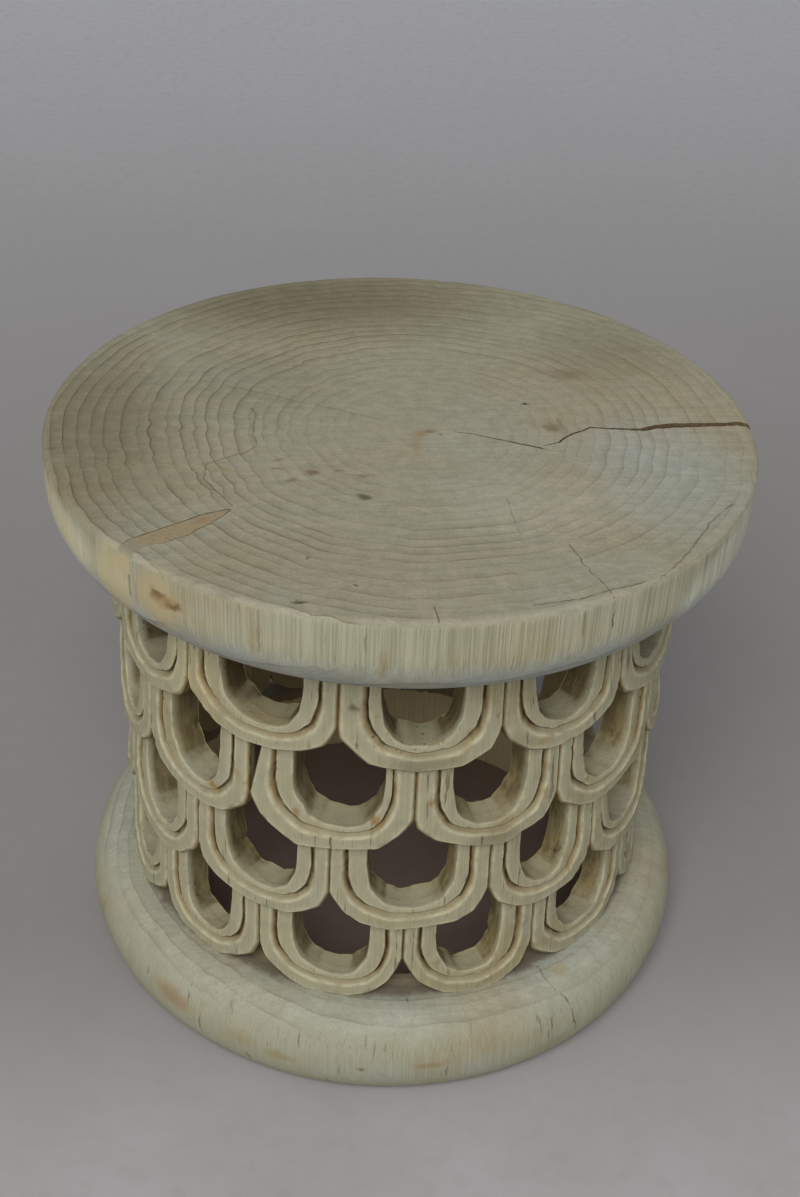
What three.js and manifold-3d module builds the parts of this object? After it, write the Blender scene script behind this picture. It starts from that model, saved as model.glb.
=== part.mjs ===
// Carved wooden table: a thick round top on an openwork drum of hanging scales, on a ring base.
// Millimetres, +Z up. The origin is on the floor, on the table's axis. A scale of the upper
// tier faces -Y. The drum is hollow and open at the bottom, and the top closes it.
import * as THREE from 'three';
import { mergeVertices } from 'three/addons/utils/BufferGeometryUtils.js';
import Module from 'manifold-3d';

const wasm = await Module();
wasm.setup();

// Whole table
const tableHeight = 435;
const partingGap = 0.3; // left between neighbouring pieces
const roundFlats = 60; // flats round the top and the base

// Top
const topRadius = 250;
const topThickness = 66.5;
const topArrisRound = 4; // small round at the upper edge
const topUnderRoundIn = 37; // the broad lower round, inward
const topUnderRoundUp = 40; // and upward

// Base ring
const baseSetIn = 12; // the base is this much smaller than the top, all round
const baseHeight = 71;
const baseFootRoundIn = 18.5; // round at the floor
const baseFootRoundUp = 33.5;
const baseShoulderIn = 28.5; // domed shoulder up to the drum

// Drum of scales
const drumSetIn = 34; // carved face at mid height, in from the base's edge
const wallThickness = 24; // from there to the hollow
const drumLean = 0.025; // the face leans out by this much per millimetre of height
const scalesPerTier = 12;
const tierCount = 4;
const upperTierDrop = 80; // from the underside of the top to the feet of the upper tier
const lowerTierSink = 2; // the lower tier's feet would end this far inside the base
const tierGrade = 1.5; // each tier is this much lower than the one above it
const shingleStep = 7; // a scale's foot stands out this far past its upper end

// One scale, a U with a flat outer band, a groove and an inner band that slopes into the window
const footDrop = 28.5; // from the cusp between two scales down to their feet
const outerBand = 11.5;
const grooveWidth = 2.4;
const grooveDepth = 4.6;
const innerBandSide = 10.8; // inner band beside the window
const innerBandFoot = 3.5; // inner band under the window
const innerBandFall = 1.4; // the inner band falls this much from groove to window
const edgeBevelWidth = 2.2; // bevel along the outline: two of them make the cut between scales
const edgeBevelDepth = 2.6;
const crestRise = 0.6; // raised line beside the groove
const roundingShare = 0.45; // how much deeper an inner line's round is, per millimetre inward
const outlineFullness = 2; // 2 is a half ellipse, more is squarer
const windowFullness = 2.5;
const arcSteps = 8; // flats round a scale's foot, an even number

// Drying crack from the rim toward the heart of the log, along its middle: x and y as shares
// of the top's radius, and the width there
const crackDepth = 24;
const crackLine = [
  [0.388, -0.15, 0.8], [0.448, -0.104, 1.3], [0.532, -0.047, 1.8], [0.668, -0.061, 2.6],
  [0.72, -0.04, 3.6], [0.86, -0.034, 5], [0.972, -0.032, 6], [1.032, -0.056, 6.6],
];
// Shorter crack that runs on toward the heart
const heartCrackDepth = 10;
const heartCrackLine = [
  [0.144, -0.07, 0.6], [0.2, -0.082, 0.9], [0.312, -0.136, 1.5], [0.384, -0.168, 2],
];

// Glued filler wedge in an old crack: its outline seen from above, from the tip round to the
// rim and back, as shares of the top's radius
const fillerDepth = 15;
const fillerOutline = [
  [-0.48, -0.47], [-0.552, -0.496], [-0.632, -0.548], [-0.728, -0.608], [-0.796, -0.68],
  [-0.76, -0.716], [-0.7, -0.646], [-0.648, -0.628], [-0.592, -0.596], [-0.536, -0.542],
  [-0.5, -0.504],
];

const baseRadius = topRadius - baseSetIn;
const drumRadius = baseRadius - drumSetIn;
const hollowRadius = drumRadius - wallThickness;
const topUnderside = tableHeight - topThickness;
const drumMiddle = (topUnderside + baseHeight) / 2;
const halfPitch = Math.PI * drumRadius / scalesPerTier; // half a scale's width, round the face
const sideRelief = partingGap / 2 * drumRadius / hollowRadius; // half the gap at the inside wall
const cutMargin = 30; // how far a cutting shape runs past what it cuts

// Heights of the scales' feet, from the upper tier down
const lowestFoot = baseHeight - lowerTierSink;
const meanPitch = (topUnderside - upperTierDrop - lowestFoot) / (tierCount - 1);
const tierFoot = [topUnderside - upperTierDrop];
for (let tier = 1; tier < tierCount; tier++) {
  const fromMiddle = tierCount / 2 - tier;
  tierFoot.push(tierFoot[tier - 1] - meanPitch - tierGrade * fromMiddle);
}

// Geometry into solid: shared vertices merged, flat triangles left out
function toSolid(geometry) {
  const bare = geometry.clone();
  bare.deleteAttribute('normal');
  bare.deleteAttribute('uv');
  const merged = mergeVertices(bare, 1e-4);
  const index = Array.from(merged.index.array);
  const triangles = [];
  for (let i = 0; i < index.length; i += 3) {
    const [a, b, c] = index.slice(i, i + 3);
    if (a !== b && b !== c && c !== a) triangles.push(a, b, c);
  }
  return new wasm.Manifold(new wasm.Mesh({
    numProp: 3,
    vertProperties: new Float32Array(merged.attributes.position.array),
    triVerts: new Uint32Array(triangles),
  }));
}

// Solid back into geometry
function toGeometry(solid) {
  const mesh = solid.getMesh();
  const geometry = new THREE.BufferGeometry();
  geometry.setAttribute('position', new THREE.BufferAttribute(new Float32Array(mesh.vertProperties), 3));
  geometry.setIndex(new THREE.BufferAttribute(new Uint32Array(mesh.triVerts), 1));
  return geometry;
}

// Quarter of an ellipse as profile points, the first point left out
function quarterRound(centreX, centreY, radiusX, radiusY, fromAngle, toAngle, steps) {
  const points = [];
  for (let i = 1; i <= steps; i++) {
    const angle = fromAngle + (toAngle - fromAngle) * i / steps;
    points.push(new THREE.Vector2(centreX + radiusX * Math.cos(angle), centreY + radiusY * Math.sin(angle)));
  }
  return points;
}

// Profile turned round the table's axis, which a lathe takes as Y, stood up to +Z
function turned(profile) {
  const geometry = new THREE.LatheGeometry(profile, roundFlats);
  geometry.rotateX(Math.PI / 2);
  return geometry;
}

// Points given as shares of the top's radius, in millimetres
function onTop(points) {
  return points.map(([x, y, ...width]) => [x * topRadius, y * topRadius, ...width]);
}

// Flat outline pushed down from the table's surface
function prismBelowTop(outline, depth) {
  const shape = new THREE.Shape(outline.map(([x, y]) => new THREE.Vector2(x, y)));
  const geometry = new THREE.ExtrudeGeometry(shape, { depth: depth + cutMargin, bevelEnabled: false });
  geometry.translate(0, 0, tableHeight - depth);
  return geometry;
}

// Outline of a crack from its middle line: out along one side and back along the other
function crackOutline(line) {
  const sides = [[], []];
  line.forEach(([x, y, width], i) => {
    const [beforeX, beforeY] = line[Math.max(i - 1, 0)];
    const [afterX, afterY] = line[Math.min(i + 1, line.length - 1)];
    const across = new THREE.Vector2(beforeY - afterY, afterX - beforeX).normalize();
    sides[0].push([x + across.x * width / 2, y + across.y * width / 2]);
    sides[1].unshift([x - across.x * width / 2, y - across.y * width / 2]);
  });
  return [...sides[1], ...sides[0]];
}

// Outline grown outward by the same amount all round
function grownOutline(outline, amount) {
  const count = outline.length;
  const clockwise = THREE.ShapeUtils.isClockWise(outline.map(([x, y]) => new THREE.Vector2(x, y)));
  return outline.map(([x, y], i) => {
    const [beforeX, beforeY] = outline[(i + count - 1) % count];
    const [afterX, afterY] = outline[(i + 1) % count];
    const sideA = new THREE.Vector2(y - beforeY, beforeX - x).normalize();
    const sideB = new THREE.Vector2(afterY - y, x - afterX).normalize();
    const out = sideA.clone().add(sideB).normalize();
    const reach = amount / Math.max(out.dot(sideA), 0.5) * (clockwise ? -1 : 1);
    return [x + out.x * reach, y + out.y * reach];
  });
}

// Top: a solid turned slab, less the two cracks and the filler's pocket
function topBlank() {
  const underCentre = [topRadius - topUnderRoundIn, topUnderside + topUnderRoundUp];
  return turned([
    new THREE.Vector2(0, topUnderside),
    new THREE.Vector2(underCentre[0], topUnderside),
    ...quarterRound(...underCentre, topUnderRoundIn, topUnderRoundUp, -Math.PI / 2, 0, 5),
    new THREE.Vector2(topRadius, tableHeight - topArrisRound),
    ...quarterRound(topRadius - topArrisRound, tableHeight - topArrisRound,
      topArrisRound, topArrisRound, 0, Math.PI / 2, 2),
    new THREE.Vector2(0, tableHeight),
  ]);
}

function topSlab() {
  const blank = toSolid(topBlank());
  const crack = toSolid(prismBelowTop(crackOutline(onTop(crackLine)), crackDepth));
  const heartCrack = toSolid(prismBelowTop(crackOutline(onTop(heartCrackLine)), heartCrackDepth));
  const pocketOutline = grownOutline(onTop(fillerOutline), partingGap);
  const pocket = toSolid(prismBelowTop(pocketOutline, fillerDepth + partingGap));
  return toGeometry(blank.subtract(crack).subtract(heartCrack).subtract(pocket));
}

// Filler: the wedge, trimmed to the top's surface and rim
function crackFiller() {
  const wedge = toSolid(prismBelowTop(onTop(fillerOutline), fillerDepth));
  return toGeometry(wedge.intersect(toSolid(topBlank())));
}

// Base: a ring with the drum's hollow through it and a domed shoulder
function baseRing() {
  const profile = [
    new THREE.Vector2(hollowRadius, 0),
    new THREE.Vector2(baseRadius - baseFootRoundIn, 0),
    ...quarterRound(baseRadius - baseFootRoundIn, baseFootRoundUp,
      baseFootRoundIn, baseFootRoundUp, -Math.PI / 2, 0, 4),
    ...quarterRound(baseRadius - baseShoulderIn, baseFootRoundUp,
      baseShoulderIn, baseHeight - baseFootRoundUp, 0, Math.PI / 2, 5),
    new THREE.Vector2(hollowRadius, baseHeight),
    new THREE.Vector2(hollowRadius, 0),
  ];
  return toGeometry(toSolid(turned(profile)));
}

// Lines that run round a scale's U, from its outline to the window and back along the inside
// wall. side and foot say how far a line lies in from the outline, rise how far it stands
// from the face.
const scaleLines = [
  { side: 0, foot: 0, rise: -edgeBevelDepth },
  { side: edgeBevelWidth, foot: edgeBevelWidth, rise: 0 },
  { side: outerBand, foot: outerBand, rise: crestRise },
  { side: outerBand + grooveWidth, foot: outerBand + grooveWidth, rise: -grooveDepth },
  {
    side: outerBand + grooveWidth + innerBandSide,
    foot: outerBand + grooveWidth + innerBandFoot,
    rise: -grooveDepth - innerBandFall,
  },
  {
    side: outerBand + grooveWidth + innerBandSide,
    foot: outerBand + grooveWidth + innerBandFoot,
    inside: true,
  },
  { side: 0, foot: 0, inside: true },
];

// Point round the drum: across is measured round the face from the scale's middle
function onDrum(across, height, radius) {
  const angle = across / drumRadius;
  return [radius * Math.sin(angle), -radius * Math.cos(angle), height];
}

// Radius of a scale's face: the drum leans out upward, and each scale tilts out at its foot
function faceRadius(height, foot, legEnd) {
  const tilt = shingleStep * (0.5 - (height - foot) / (legEnd - foot));
  return drumRadius + drumLean * (height - drumMiddle) + tilt;
}

// Height at which a tier's legs end, before they are trimmed
function legEndOf(tier) {
  return tier === 0 ? topUnderside - partingGap : tierFoot[tier - 1] + footDrop;
}

// A line's U as [across, height] pairs, from one leg's end round the foot to the other leg's end
function lineOfU(line, foot, legEnd) {
  const halfWidth = halfPitch - sideRelief - line.side;
  const depth = footDrop + roundingShare * line.side;
  const roundTop = foot + line.foot + depth;
  const inward = line.side / (outerBand + grooveWidth + innerBandSide);
  const fullness = outlineFullness + (windowFullness - outlineFullness) * inward;
  const points = [[halfWidth, Math.max(legEnd, roundTop)]];
  for (let i = 0; i <= arcSteps; i++) {
    const angle = Math.PI * i / arcSteps;
    const aside = Math.sign(Math.cos(angle)) * Math.abs(Math.cos(angle)) ** (2 / fullness);
    points.push([halfWidth * aside, roundTop - depth * Math.sin(angle) ** (2 / fullness)]);
  }
  points.push([-halfWidth, Math.max(legEnd, roundTop)]);
  return points;
}

// Closed geometry from rows of points, all the same closed loop of points in other places. The
// end faces are triangles of the loop's points, in the loop's direction. Its faces point out.
function loftOf(rows, endFaces) {
  const count = rows[0].length;
  const index = [];
  for (let row = 0; row + 1 < rows.length; row++) {
    for (let i = 0; i < count; i++) {
      const a = row * count + i;
      const b = row * count + (i + 1) % count;
      index.push(a, b, b + count, a, b + count, a + count);
    }
  }
  const last = (rows.length - 1) * count;
  for (const [a, b, c] of endFaces) index.push(a, c, b, last + a, last + b, last + c);
  const points = rows.flat().map((point) => new THREE.Vector3(...point));
  let volume = 0;
  for (let i = 0; i < index.length; i += 3) {
    const [a, b, c] = index.slice(i, i + 3).map((vertex) => points[vertex]);
    volume += a.dot(b.clone().cross(c));
  }
  if (volume < 0) index.reverse();
  const geometry = new THREE.BufferGeometry().setFromPoints(points);
  geometry.setIndex(index);
  return geometry;
}

// Whole U before it is trimmed by what hangs above it and stands below it
function scaleBlank(tier) {
  const foot = tierFoot[tier];
  const legEnd = legEndOf(tier);
  const lines = scaleLines.map((line) => lineOfU(line, foot, legEnd));
  const rows = lines[0].map((unused, section) => scaleLines.map((line, i) => {
    const [across, height] = lines[i][section];
    const radius = line.inside ? hollowRadius : faceRadius(height, foot, legEnd) + line.rise;
    return onDrum(across, height, radius);
  }));
  const last = scaleLines.length - 1;
  const endFaces = [];
  for (let i = 0; i + 1 < last; i++) endFaces.push([last, i, i + 1]);
  return loftOf(rows, endFaces);
}

// What hangs above a tier, as one cutting shape: everything over the outlines of the two
// scales of the tier above, which lie half a scale to either side
function tierAboveCutter(tier) {
  const above = tier - 1;
  const foot = tierFoot[above];
  const gap = partingGap * 1.1; // measured upright, a little more than square to the edge
  const whole = lineOfU(scaleLines[0], foot, legEndOf(above)).slice(1, -1);
  const middle = arcSteps / 2;
  const fromRight = whole.slice(middle).map(([across, height]) => [across + halfPitch, height - gap]);
  const toLeft = whole.slice(0, middle + 1).map(([across, height]) => [across - halfPitch, height - gap]);
  const reach = 1.1 * halfPitch;
  const upperEdge = foot + footDrop + 2 * cutMargin;
  const outline = [...fromRight, ...toLeft, [-reach, upperEdge], [reach, upperEdge]];
  const rows = [
    () => hollowRadius - cutMargin,
    () => hollowRadius,
    (height) => faceRadius(height + gap, foot, legEndOf(above)) - edgeBevelDepth,
    () => drumRadius + cutMargin,
  ].map((radius) => outline.map(([across, height]) => onDrum(across, height, radius(height))));
  const flat = outline.map(([across, height]) => new THREE.Vector2(across, height));
  const faces = THREE.ShapeUtils.triangulateShape(flat, []);
  if (THREE.ShapeUtils.isClockWise(flat)) faces.forEach((face) => face.reverse());
  return loftOf(rows, faces);
}

// What stands below the lower tier: everything under the base's upper face
function baseCutter() {
  const width = 2 * (baseRadius + cutMargin);
  const depth = baseHeight + partingGap + cutMargin;
  const box = new THREE.BoxGeometry(width, width, depth);
  box.translate(0, 0, baseHeight + partingGap - depth / 2);
  return box;
}

// One scale of a tier, trimmed to its neighbours above and below
function scaleOfTier(tier) {
  let scale = toSolid(scaleBlank(tier));
  if (tier > 0) scale = scale.subtract(toSolid(tierAboveCutter(tier)));
  if (tierFoot[tier] < baseHeight + partingGap) scale = scale.subtract(toSolid(baseCutter()));
  return toGeometry(scale);
}

const group = new THREE.Group();

function addPiece(name, geometry, colour, roughness) {
  const material = new THREE.MeshStandardMaterial({ color: colour, roughness, metalness: 0 });
  const mesh = new THREE.Mesh(geometry, material);
  mesh.name = name;
  group.add(mesh);
  return mesh;
}

addPiece('top_slab', topSlab(), 0x918e7e, 0.6);
addPiece('crack_filler', crackFiller(), 0x9a8568, 0.7);
addPiece('base_ring', baseRing(), 0xa5a58f, 0.7);

for (let tier = 0; tier < tierCount; tier++) {
  const geometry = scaleOfTier(tier);
  const offset = tier % 2 === 0 ? 0 : 0.5; // every second tier lies half a scale round
  for (let place = 0; place < scalesPerTier; place++) {
    const number = String(place + 1).padStart(2, '0');
    const scale = addPiece(`tier_${tier + 1}_scale_${number}`, geometry, 0xb0a988, 0.75);
    scale.rotation.z = 2 * Math.PI * (place + offset) / scalesPerTier;
  }
}

export default group;
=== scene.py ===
"""Carved wooden table: the finished look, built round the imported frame.

Shapes are worked out in millimetres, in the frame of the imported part: +Z up, the origin on the
floor on the table's axis, and the upper tier's first scale facing -Y. Angles round the drum are
in degrees, 0 at -Y and growing toward +X. Everything is turned into metres when it is built.
"""

import functools
import itertools
import logging
import math
from dataclasses import dataclass, field
from enum import Enum
from typing import Callable, Iterable, Optional, Sequence, Union

import bpy
import numpy as np
from mathutils import Euler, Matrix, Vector


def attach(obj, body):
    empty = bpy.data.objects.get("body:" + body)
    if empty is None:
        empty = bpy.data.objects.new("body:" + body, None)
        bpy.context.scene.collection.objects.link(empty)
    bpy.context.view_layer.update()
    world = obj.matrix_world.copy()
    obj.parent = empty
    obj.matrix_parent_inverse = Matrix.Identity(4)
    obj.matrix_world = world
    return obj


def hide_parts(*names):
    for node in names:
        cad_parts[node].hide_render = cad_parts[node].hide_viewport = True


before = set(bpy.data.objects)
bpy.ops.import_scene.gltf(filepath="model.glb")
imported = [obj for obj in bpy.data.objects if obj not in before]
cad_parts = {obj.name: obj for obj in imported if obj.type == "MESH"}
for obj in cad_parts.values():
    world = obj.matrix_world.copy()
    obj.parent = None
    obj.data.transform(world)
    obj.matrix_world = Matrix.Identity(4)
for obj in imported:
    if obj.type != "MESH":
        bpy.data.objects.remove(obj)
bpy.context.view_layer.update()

LOG = logging.getLogger("carved_table")
MM = 0.001
BODY = "root"
TOP_HEIGHT = 435.0
TOP_UNDERSIDE = 368.5
FLAT = (1.0, 1.0, 0.0)
HEART = (0.014, -0.014, 0.0)
RING_SPACING = 0.0098
RELIEF = 0.001
WOOD_SHEEN = 0.28

Array = np.ndarray
Pair = tuple[float, float]
Triple = tuple[float, float, float]
Colour = tuple[float, float, float, float]
Curve = tuple[Array, Array]
Faces = list[list[int]]
Socket = bpy.types.NodeSocket
Plain = Union[float, Sequence[float]]
Feed = Union[Socket, Plain]
Given = dict[str, Socket]
Results = dict[str, Feed]


class Slot(Enum):
    """The record's material slots."""

    END_GRAIN = "end_grain"
    CARVED = "carved_wood"
    BASE = "base_wood"
    FILLER = "filler"


class Mask(Enum):
    """Values kept on a mesh's points, which the finishes read."""

    EDGE = "edge"
    GROOVE = "groove"
    HOLLOW = "hollow"


class Grain(Enum):
    """How much of a surface counts as end grain."""

    BROAD = (0.30, 0.86)
    TIGHT = (0.07, 0.52)


# ---- shapes ----


class Lattice:
    """Seeded numbers in the cells of space, the same on each run."""

    CELLS = 256

    def __init__(self, seed: int) -> None:
        """Draw the cells' order.

        Args:
            seed: number that the whole pattern follows from.
        """
        self.draws = np.random.default_rng(seed)
        self.order = self.draws.permutation(self.CELLS)

    def keys(self, cell: Array) -> Array:
        """The numbers of some cells, given by whole x, y and z along the last axis."""
        key = self.order[cell[..., 0] & (self.CELLS - 1)]
        for axis in (1, 2):
            key = self.order[(key + cell[..., axis]) & (self.CELLS - 1)]
        return key


class LatticeNoise(Lattice):
    """Smooth noise in space."""

    def __init__(self, seed: int) -> None:
        """Draw the value at each of the lattice's points."""
        super().__init__(seed)
        self.values = self.draws.uniform(-1.0, 1.0, self.CELLS)

    def at(self, points: Array, wavelength: float) -> Array:
        """Noise at some points.

        Args:
            points: positions, with x, y and z along the last axis.
            wavelength: distance between the lattice's points, in the same unit.

        Returns:
            Values from about -1 to 1, one for each point.
        """
        place = points / wavelength
        cell = np.floor(place).astype(int)
        part = place - cell
        part = part * part * (3.0 - 2.0 * part)
        total = np.zeros(points.shape[:-1])
        for corner in itertools.product((0, 1), repeat=3):
            share = np.ones(points.shape[:-1])
            for axis, upper in enumerate(corner):
                share = share * (part[..., axis] if upper else 1.0 - part[..., axis])
            total += share * self.values[self.keys(cell + corner)]
        return total


class KnifeFacets(Lattice):
    """Flat facets in space, each tilted its own way, as a knife leaves them."""

    def __init__(self, seed: int) -> None:
        """Draw each facet's place and tilt."""
        super().__init__(seed)
        self.shift = self.draws.uniform(0.0, 1.0, (self.CELLS, 3))
        self.tilt = self.draws.uniform(-1.0, 1.0, (self.CELLS, 3))

    def at(self, points: Array, size: float) -> Array:
        """Height of the facets at some points.

        Args:
            points: positions, with x, y and z along the last axis.
            size: about how wide a facet is.

        Returns:
            Heights from about -1 to 1, one for each point.
        """
        place = points / size
        cell = np.floor(place).astype(int)
        nearest = np.full(points.shape[:-1], np.inf)
        height = np.zeros(points.shape[:-1])
        for step in itertools.product((-1, 0, 1), repeat=3):
            key = self.keys(cell + step)
            away = place - (cell + step) - self.shift[key]
            far = (away * away).sum(-1)
            closer = far < nearest
            nearest = np.where(closer, far, nearest)
            height = np.where(closer, (away * self.tilt[key]).sum(-1), height)
        return height


NOISE = LatticeNoise(11)
CHIP_NOISE = LatticeNoise(29)
FACETS = KnifeFacets(43)


def smooth(value: Array, low: float, high: float) -> Array:
    """Ease from 0 at low to 1 at high.

    Args:
        value: numbers to ease.
        low: where the ease starts.
        high: where it ends.

    Returns:
        Numbers from 0 to 1.
    """
    part = np.clip((value - low) / (high - low), 0.0, 1.0)
    return part * part * (3.0 - 2.0 * part)


def signed_volume(points: Array, faces: Sequence[Sequence[int]]) -> float:
    """Volume inside a closed shell, negative if its faces look in.

    Args:
        points: the shell's points.
        faces: each face's point numbers, in order round it.

    Returns:
        The volume, in the points' unit cubed.
    """
    total = 0.0
    by_size: dict[int, list[Sequence[int]]] = {}
    for face in faces:
        by_size.setdefault(len(face), []).append(face)
    for size, group in by_size.items():
        corners = points[np.array(group)]
        for k in range(1, size - 1):
            cross = np.cross(corners[:, k], corners[:, k + 1])
            total += float((corners[:, 0] * cross).sum()) / 6.0
    return total


def grid_faces(rows: int, columns: int, closed_rows: bool, closed_columns: bool) -> Faces:
    """Four-sided faces over a grid of points numbered row by row.

    Args:
        rows: rows of points.
        columns: points in a row.
        closed_rows: True if the last row joins the first.
        closed_columns: True if the last point of a row joins its first.

    Returns:
        The faces' point numbers.
    """
    row = np.arange(rows if closed_rows else rows - 1)
    column = np.arange(columns if closed_columns else columns - 1)
    r0, c0 = np.meshgrid(row, column, indexing="ij")
    r1, c1 = (r0 + 1) % rows, (c0 + 1) % columns
    corners = (r0 * columns + c0, r0 * columns + c1, r1 * columns + c1, r1 * columns + c0)
    return np.stack(corners, -1).reshape(-1, 4).tolist()


def tube_faces(rows: int, columns: int) -> Faces:
    """Faces over a grid whose last row joins its first, with its two open ends closed."""
    faces = grid_faces(rows, columns, True, False)
    faces.append([row * columns for row in range(rows)])
    faces.append([row * columns + columns - 1 for row in reversed(range(rows))])
    return faces


def round_axis(radius: Array, turn: Array, height: Array) -> Array:
    """Points round the table's axis from radii, angles in radians and heights."""
    return np.stack((radius * np.sin(turn), -radius * np.cos(turn), height + 0.0 * turn), -1)


def link(name: str, data: bpy.types.ID) -> bpy.types.Object:
    """A new object in the scene."""
    made = bpy.data.objects.new(name, data)
    bpy.context.scene.collection.objects.link(made)
    return made


def mesh_object(
    name: str, points: Array, faces: Faces, masks: Optional[dict[Mask, Array]] = None,
) -> bpy.types.Object:
    """A mesh object at the origin, its place in its points.

    Args:
        name: the object's name.
        points: positions in millimetres.
        faces: each face's point numbers.
        masks: values to keep on the points.

    Returns:
        The object, linked to the scene.
    """
    if signed_volume(points, faces) < 0.0:
        faces = [face[::-1] for face in faces]
    mesh = bpy.data.meshes.new(name)
    mesh.from_pydata((points * MM).tolist(), [], faces)
    for mask, values in (masks or {}).items():
        attribute = mesh.attributes.new(mask.value, "FLOAT", "POINT")
        attribute.data.foreach_set("value", np.ascontiguousarray(values.ravel(), dtype=np.float32))
    mesh.update()
    return link(name, mesh)


def shade(piece: bpy.types.Object, crease: float) -> None:
    """Shade a piece smooth, with creases at its sharp edges.

    Args:
        piece: mesh object.
        crease: angle between faces, in degrees, above which an edge stays sharp.
    """
    piece.data.shade_smooth()
    piece.data.set_sharp_from_angle(angle=math.radians(crease))


def carve(piece: bpy.types.Object, tool: bpy.types.Object, operation: str) -> None:
    """Cut a piece with another, or keep only what they share.

    Args:
        piece: mesh object that is changed.
        tool: closed mesh object that cuts, which is deleted.
        operation: DIFFERENCE or INTERSECT.
    """
    cut = piece.modifiers.new("cut", "BOOLEAN")
    cut.operation = operation
    cut.object = tool
    cut.solver = "EXACT"
    cut.material_mode = "TRANSFER"
    bpy.context.view_layer.update()
    evaluated = piece.evaluated_get(bpy.context.evaluated_depsgraph_get())
    result = bpy.data.meshes.new_from_object(evaluated)
    piece.modifiers.clear()
    old = piece.data
    piece.data = result
    bpy.data.meshes.remove(old)
    bpy.data.objects.remove(tool)


def fit_out(piece: bpy.types.Object, material: bpy.types.Material, nodes: Iterable[str]) -> None:
    """Give a piece its finish and its place in the frame.

    Args:
        piece: the finished mesh object.
        material: its finish.
        nodes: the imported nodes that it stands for.
    """
    if len(piece.data.materials) == 0:
        piece.data.materials.append(material)
    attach(piece, BODY)
    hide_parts(*nodes)
    LOG.info("%s: %d faces", piece.name, len(piece.data.polygons))


# ---- node graphs ----


def paint(red: float, green: float, blue: float) -> Colour:
    """A colour as a shader takes it.

    Args:
        red: from 0 to 255, as seen on a screen, like green and blue.
        green: see red.
        blue: see red.

    Returns:
        The same colour on a linear scale, with full cover.
    """
    def linear(value: float) -> float:
        """One channel on a linear scale."""
        share = value / 255.0
        return share / 12.92 if share <= 0.04045 else ((share + 0.055) / 1.055) ** 2.4

    return linear(red), linear(green), linear(blue), 1.0


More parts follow.
